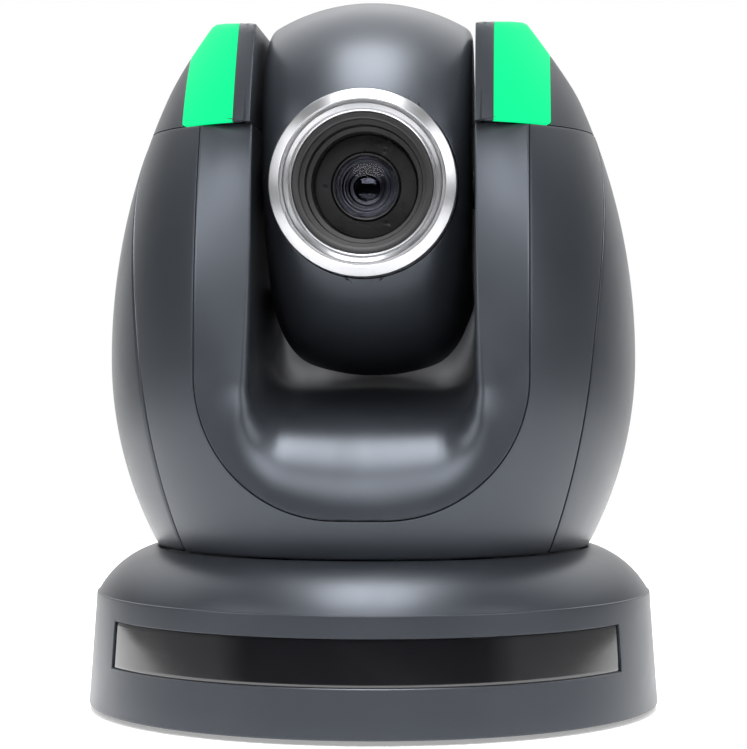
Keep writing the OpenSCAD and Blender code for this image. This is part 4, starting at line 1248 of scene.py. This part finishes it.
@dataclass
class Lens:
    """Turned lens ring, stepped barrel, retainer and glass."""

    shop: Workshop
    front: float = field(default_factory=lambda: low("lens_bezel").y)
    seat: float = field(default_factory=lambda: high("lens_bezel").y)
    ring_r: float = field(default_factory=lambda: high("lens_bezel").x)
    lens_z: float = field(default_factory=lambda: middle("lens_bezel"))

    def turned(self, name: str, section: Sequence[Pair], steps: int = 160) -> Obj:
        """Spins a section of radius and distance behind the ring's front round the lens axis."""
        placed = [(r, self.front + d) for r, d in section]
        obj = spun(name, placed, steps, axis="Y", centre=(0, 0, self.lens_z))
        smooth(obj, 28)
        return obj

    def ring(self) -> None:
        """Builds the bright ring: outer bevel, groove, inner funnel and rolled lip."""
        r = self.ring_r
        depth = self.seat - self.front
        section = [
            (r - 6.75, 3.4), (r - 6.74, 2.9), (r - 6.66, 2.6), (r - 6.5, 2.45), (r - 6.3, 2.5),
            (r - 6.18, 2.7), (r - 6.1, 3.0), (r - 5.9, 3.0), (r - 4.5, 1.75), (r - 4.3, 1.5),
            (r - 4.1, 1.2), (r - 3.45, 1.15),
            (r - 3.35, 1.05), (r - 3.3, 0.4), (r - 3.2, 0.1), (r - 3.05, 0.05), (r - 2.9, 0.1),
            (r - 0.35, 1.85), (r - 0.12, 2.1), (r - 0.02, 2.45), (r, 2.9),
            (r, depth - 2), (r - 1.0, depth - 1.9), (r - 1.0, depth), (r - 6.75, depth),
        ]
        self.shop.deliver(self.turned("lens_ring", section), "bezel_aluminium", Body.HEAD, "lens_bezel")

    def barrel(self) -> None:
        """Builds the black stepped barrel with fine glare threads."""
        r = self.ring_r - 6.85
        back = self.seat - self.front + 13.8

        def threads(root: float, crest: float, first: float, pitch: float, rise: float) -> list[Pair]:
            """Returns a row of seven fine threads."""
            starts = [first + i * pitch for i in range(7)]
            return [p for d in starts for p in ((root, d), (crest, d + rise))]

        section: list[Pair] = [(r, 3.6), (r - 0.3, 3.5), (r - 1.4, 3.6), (r - 1.8, 3.8)]
        section += threads(r - 1.8, r - 1.6, 4.0, 0.55, 0.28)
        section += [(r - 1.8, 8.0), (r - 3.2, 8.2), (r - 3.4, 8.6)]
        section += threads(r - 3.4, r - 3.2, 9.0, 0.75, 0.35)
        section += [(r - 3.4, 14.5), (r - 4.7, 14.7), (r - 4.9, 15.1), (r - 4.9, 22.5),
                    (9.3, 22.5), (9.3, back), (r, back)]
        self.shop.deliver(self.turned("barrel_sleeve", section), "black_plastic", Body.HEAD, "lens_barrel",
                          own=self.shop.mats["barrel_black"])

    def retainer(self) -> None:
        """Builds the retaining disc with its three key holes and raised inner collar."""
        r = self.ring_r - 12.05
        section = [(9.25, 22.4), (9.25, 20.7), (9.45, 20.35), (9.9, 20.3), (10.3, 20.7), (10.5, 21.0),
                   (r - 0.6, 20.9), (r - 0.15, 21.1), (r, 21.5), (r, 22.4)]
        obj = self.turned("retaining_disc", section)
        pins, pin_ring = [], 12.3
        for turn in (180, 62, -60):
            a = math.radians(turn)
            at = (pin_ring * math.cos(a), self.lens_z + pin_ring * math.sin(a))
            pins.append(rod("pin_tool", 0.75, (self.front + 19, self.front + 21.9), "Y", at, 20))
        carve(obj, join("pin_tools", pins))
        soften(obj, 0.08, 50)
        smooth(obj, 28)
        self.shop.deliver(obj, "black_plastic", Body.HEAD, "lens_retainer", own=self.shop.mats["disc_black"])

    def glass(self) -> None:
        """Builds the front element and the rings and small elements seen through it."""
        front, glass_r = 19.6, 9.15
        dome = [(glass_r * k / 12, front + 0.055 * (glass_r * k / 12) ** 2 * 0.35) for k in range(13)]
        section = dome + [(glass_r, front + 2.6), (0.0, front + 2.2)]
        glass = self.turned("front_glass", section, 96)
        self.shop.deliver(glass, "lens_glass", Body.HEAD, "front_lens", own=self.shop.mats["clear_glass"])
        cell = [(9.2, 22.55), (8.1, 22.6), (8.0, 23.1), (7.2, 23.3), (6.9, 23.9), (6.25, 24.0), (6.15, 24.8),
                (5.4, 25.1), (4.9, 25.9), (3.95, 26.1), (3.85, 26.9), (3.85, 29.0), (9.2, 29.0)]
        self.shop.deliver(self.turned("inner_cell", cell, 96), "black_plastic", Body.HEAD,
                          own=self.shop.mats["barrel_black"])
        pupil_r = 3.84
        small = [(pupil_r * k / 8, 26.9 + 0.05 * (pupil_r * k / 8) ** 2) for k in range(9)]
        second = self.turned("second_element", small + [(pupil_r, 28.8), (0.0, 28.8)], 64)
        self.shop.deliver(second, "lens_glass", Body.HEAD)

    def build(self) -> None:
        """Builds every lens piece in order."""
        self.ring()
        self.barrel()
        self.retainer()
        self.glass()


# ------------------------------------------------------------------ base


@dataclass
class Base:
    """Flared base: skirt with its window, rounded shoulder, deck and connector bay.

    Attributes:
        rim_z: height of the skirt's upper rim.
        taper: how much smaller the skirt is there than at its foot.
        shoulder_r: radius of the rounded shoulder.
        wall: wall of the moulding.
        deck_z: height of the deck under the turret.
        window_z: lower and upper edge of the window.
        window_turn: half of the window's sweep in degrees.
        window_sink: how far it lies behind the skirt.
    """

    shop: Workshop
    rim_z: float = 36.6
    taper: float = 2.5
    shoulder_r: float = 28.3
    wall: float = 3.0
    deck_z: float = 47.5
    window_z: Pair = (16.2, 30.0)
    window_turn: float = 60.0
    window_sink: float = 0.6
    foot_r: float = field(default_factory=lambda: high("base_housing").x)
    foot_z: float = field(default_factory=lambda: low("base_housing").z)
    hole_r: float = field(default_factory=lambda: high("pan_carrier").x - 4)
    panel_y: float = field(default_factory=lambda: high("rear_panel").y)

    def skirt(self, z: float) -> float:
        """Returns the skirt's radius at a height."""
        return self.foot_r - self.taper * (z - self.foot_z) / (self.rim_z - self.foot_z)

    def section(self) -> list[Pair]:
        """Returns the housing's closed half section."""
        rim = self.skirt(self.rim_z)
        cx, cz = rim - 0.5, self.rim_z + 14.6 - self.shoulder_r
        cx -= math.sqrt(self.shoulder_r**2 - (self.rim_z - cz) ** 2)
        a0 = math.atan2(self.rim_z + 0.02 - cz, rim - 0.5 - cx)
        a1 = math.radians(75.5)
        out: list[Pair] = [(self.foot_r - 0.8, self.foot_z), (self.foot_r - 0.25, self.foot_z + 0.15),
                           (self.foot_r - 0.02, self.foot_z + 0.7)]
        out += [(self.skirt(z), z) for z in (8.0, 14.0, 20.0, 26.0, 31.0, self.rim_z - 0.55)]
        out += [(rim - 0.08, self.rim_z - 0.22), (rim - 0.3, self.rim_z - 0.04), (rim - 0.5, self.rim_z)]

        def arc(r: float, first: float, last: float, steps: int, drop: float = 0.0) -> list[Pair]:
            """Returns an arc round the shoulder's centre, without its first point."""
            turns = [mix(first, last, k / steps) for k in range(1, steps + 1)]
            return [(cx + r * math.cos(a), cz + r * math.sin(a) - drop) for a in turns]

        out += arc(self.shoulder_r, a0, a1, 20)
        x, z = out[-1]
        deck = self.deck_z
        out += [(x - 0.5, z - 0.05), (x - 0.85, z - 0.3), (x - 1.0, z - 0.8)]
        out += [(x - 1.0, deck + 0.5), (x - 1.4, deck)]
        out += [(self.hole_r + 0.4, deck), (self.hole_r, deck - 0.4), (self.hole_r, deck - self.wall),
                (cx + 1.0, deck - self.wall)]
        out += arc(self.shoulder_r - self.wall, a1, a0, 8, 0.2)
        out += [(self.skirt(33.0) - self.wall, 33.0), (self.foot_r - self.wall, self.foot_z)]
        return out

    def band_tool(self, z0: float, z1: float, d0: float, d1: float, turn: float, flare: float) -> Obj:
        """Makes a cutter that follows the skirt.

        Args:
            z0: its lower edge.
            z1: its upper edge.
            d0: depth of its outer face, negative outside the skirt.
            d1: depth of its inner face.
            turn: half its sweep in degrees.
            flare: how far its mouth opens at the skirt's face.

        Returns:
            The cutter.
        """
        r0, r1 = self.skirt(z0), self.skirt(z1)
        section = [(r0 - d1, z0), (r0 - flare, z0), (r0 - d0, z0 - flare + d0),
                   (r1 - d0, z1 + flare - d0), (r1 - flare, z1), (r1 - d1, z1)]
        return spun("band_tool", section, 96, 2 * turn, 270 - turn)

    def housing(self) -> None:
        """Builds the outer moulding, its window seat and the connector bay."""
        obj = spun("base_shell", self.section(), 240)
        z0, z1 = self.window_z
        carve(obj, self.band_tool(z0, z1, -1.0, self.window_sink + 1.6, self.window_turn, 0.25))
        lo, hi = low("rear_panel"), high("rear_panel")
        past = self.foot_r + 4
        bay = block("bay_tool", (lo.x + 2.5, self.panel_y - 14, lo.z + 2), (hi.x - 2.5, past, hi.z - 2))
        frame_block = block("bay_frame", (lo.x - 0.5, self.panel_y + 0.05, lo.z - 1),
                            (hi.x + 0.5, past, hi.z + 1))
        z_low, z_top = 3.0, 34.0
        keep = spun("bay_keep", [(0.0, z_low), (self.skirt(z_low) - 0.4, z_low),
                                 (self.skirt(z_top) - 0.4, z_top), (0.0, z_top)], 240)
        carve(frame_block, keep, "INTERSECT")
        carve(obj, frame_block, "UNION")
        carve(obj, bay)
        edit(obj, weld(0.02))
        soften(obj, 0.22, 55)
        smooth(obj, 30)
        self.shop.deliver(obj, "body_plastic", Body.BASE, "base_housing")

    def window(self) -> None:
        """Builds the glossy window across the front."""
        z0, z1 = self.window_z
        c, d = 0.12, self.window_sink
        low_r, high_r = self.skirt(z0 + c) - d, self.skirt(z1 - c) - d
        section = [(low_r - 1.4, z0 + c), (low_r - 0.25, z0 + c), (low_r - 0.05, z0 + c + 0.12),
                   (low_r, z0 + c + 0.4)]
        section += [(self.skirt(z) - d, z) for z in (z0 + 1.2, 23.0, z1 - 1.2)]
        section += [(high_r, z1 - c - 0.4), (high_r - 0.05, z1 - c - 0.12), (high_r - 0.25, z1 - c),
                    (high_r - 1.4, z1 - c)]
        obj = spun("front_window", section, 120, 2 * self.window_turn - 0.3, 270 - self.window_turn + 0.15)
        smooth(obj, 30)
        self.shop.deliver(obj, "window_plastic", Body.BASE, "ir_window")

    def build(self) -> None:
        """Builds every base piece in order."""
        self.housing()
        self.window()


# ------------------------------------------------------------------ studio


@dataclass
class Studio:
    """Pale floor, soft lights and the camera.

    Attributes:
        lens: focal length in millimetres.
        distance: from the pan axis to the camera, in metres.
        eye: height of the camera, in metres.
        turn: its angle round the object, in degrees.
        aim: height of the point that it looks at, in metres.
    """

    lens: float = 122.7
    distance: float = 0.8
    eye: float = 0.111
    turn: float = 3.2
    aim: float = 0.1033

    def camera(self) -> None:
        """Places the camera."""
        data = bpy.data.cameras.new("camera")
        data.lens, data.sensor_width = self.lens, 36.0
        data.dof.use_dof = False
        cam = bpy.data.objects.new("camera", data)
        bpy.context.scene.collection.objects.link(cam)
        a = math.radians(self.turn)
        cam.location = (self.distance * math.sin(a), -self.distance * math.cos(a), self.eye)
        cam.rotation_euler = (Vector((0, 0, self.aim)) - cam.location).to_track_quat("-Z", "Y").to_euler()
        bpy.context.scene.camera = cam

    def light(self, name: str, at: Point, look: Point, size: Pair, power: float) -> None:
        """Hangs one soft light.

        Args:
            name: its name.
            at: its place in metres.
            look: the point that it faces.
            size: width and height in metres.
            power: in watts.
        """
        data = bpy.data.lights.new(name, "AREA")
        data.shape, data.size, data.size_y, data.energy = "RECTANGLE", size[0], size[1], power
        obj = bpy.data.objects.new(name, data)
        bpy.context.scene.collection.objects.link(obj)
        obj.location = at
        obj.visible_camera = False
        obj.rotation_euler = (Vector(look) - Vector(at)).to_track_quat("-Z", "Y").to_euler()

    def build(self) -> None:
        """Builds the floor, the surround, the lights and the camera."""
        floor = start("studio_floor", bpy.ops.mesh.primitive_circle_add, vertices=96, radius=0.7,
                      fill_type="NGON")
        s = Shader("floor_paper")
        noise = s.add("TexNoise", Vector=s.coords.outputs["Object"], Scale=3.0, Detail=3.0)
        s.set(Roughness=0.9, Specular_IOR_Level=0.1, Emission_Color=(1, 1, 1, 1), Emission_Strength=0.35)
        s.feed(Base_Color=remap(s.tree, noise.outputs["Fac"], 0.0, 1.0, 0.86, 0.9))
        floor.data.materials.append(s.mat)
        self.surround()
        self.light("top_box", (0.0, -0.26, 0.95), (0, 0, 0.12), (0.42, 0.62), 13.0)
        self.light("front_box", (0.0, -0.8, 0.58), (0, 0, 0.14), (0.62, 0.36), 6.0)
        for name, side in (("left_box", -1), ("right_box", 1)):
            self.light(name, (side * 0.77, -0.54, 0.53), (0, 0, 0.15), (0.5, 0.6), 4.2)
        self.camera()
        bpy.context.scene.view_settings.view_transform = "Standard"

    def surround(self) -> None:
        """Sets the surround: white behind the object, grey beside it and dark in front of it."""
        world = bpy.data.worlds.new("white_surround")
        bpy.context.scene.world = world
        world.use_nodes = True
        tree = world.node_tree
        back = tree.nodes["Background"]
        path = add_node(tree, "LightPath")
        part = add_node(tree, "SeparateXYZ", Vector=add_node(tree, "TexCoord").outputs["Generated"])
        depth, height = part.outputs["Y"], part.outputs["Z"]
        away = remap(tree, depth, 0.5, 0.85, 0.0, 0.9)
        wall = remap(tree, depth, -0.66, -0.45, 0.02, 0.38)
        beside = sums(tree, "MULTIPLY", wall, remap(tree, height, 0.02, 0.22, 1.0, 0.25))
        raised = remap(tree, height, 0.34, 0.62, 0.0, 1.9)
        sides = sums(tree, "ADD", away, beside)
        glow = sums(tree, "MULTIPLY_ADD", remap(tree, depth, 0.0, 0.35), raised, sides)
        seen = add_node(tree, "Mix", data_type="FLOAT", i0=path.outputs["Is Camera Ray"], i2=glow, i3=1.0)
        tree.links.new(seen.outputs[0], back.inputs["Strength"])
        back.inputs["Color"].default_value = (1, 1, 1, 1)


def main() -> None:
    """Builds the camera's looks in order and reports each piece."""
    logging.basicConfig(level=logging.INFO, format="%(message)s", stream=sys.stdout)
    shop = Workshop()
    TurretShells(shop).build()
    BallHead(shop).build()
    Lens(shop).build()
    Base(shop).build()
    shop.dress_frame()
    Studio().build()


if __name__ == "__main__":
    main()
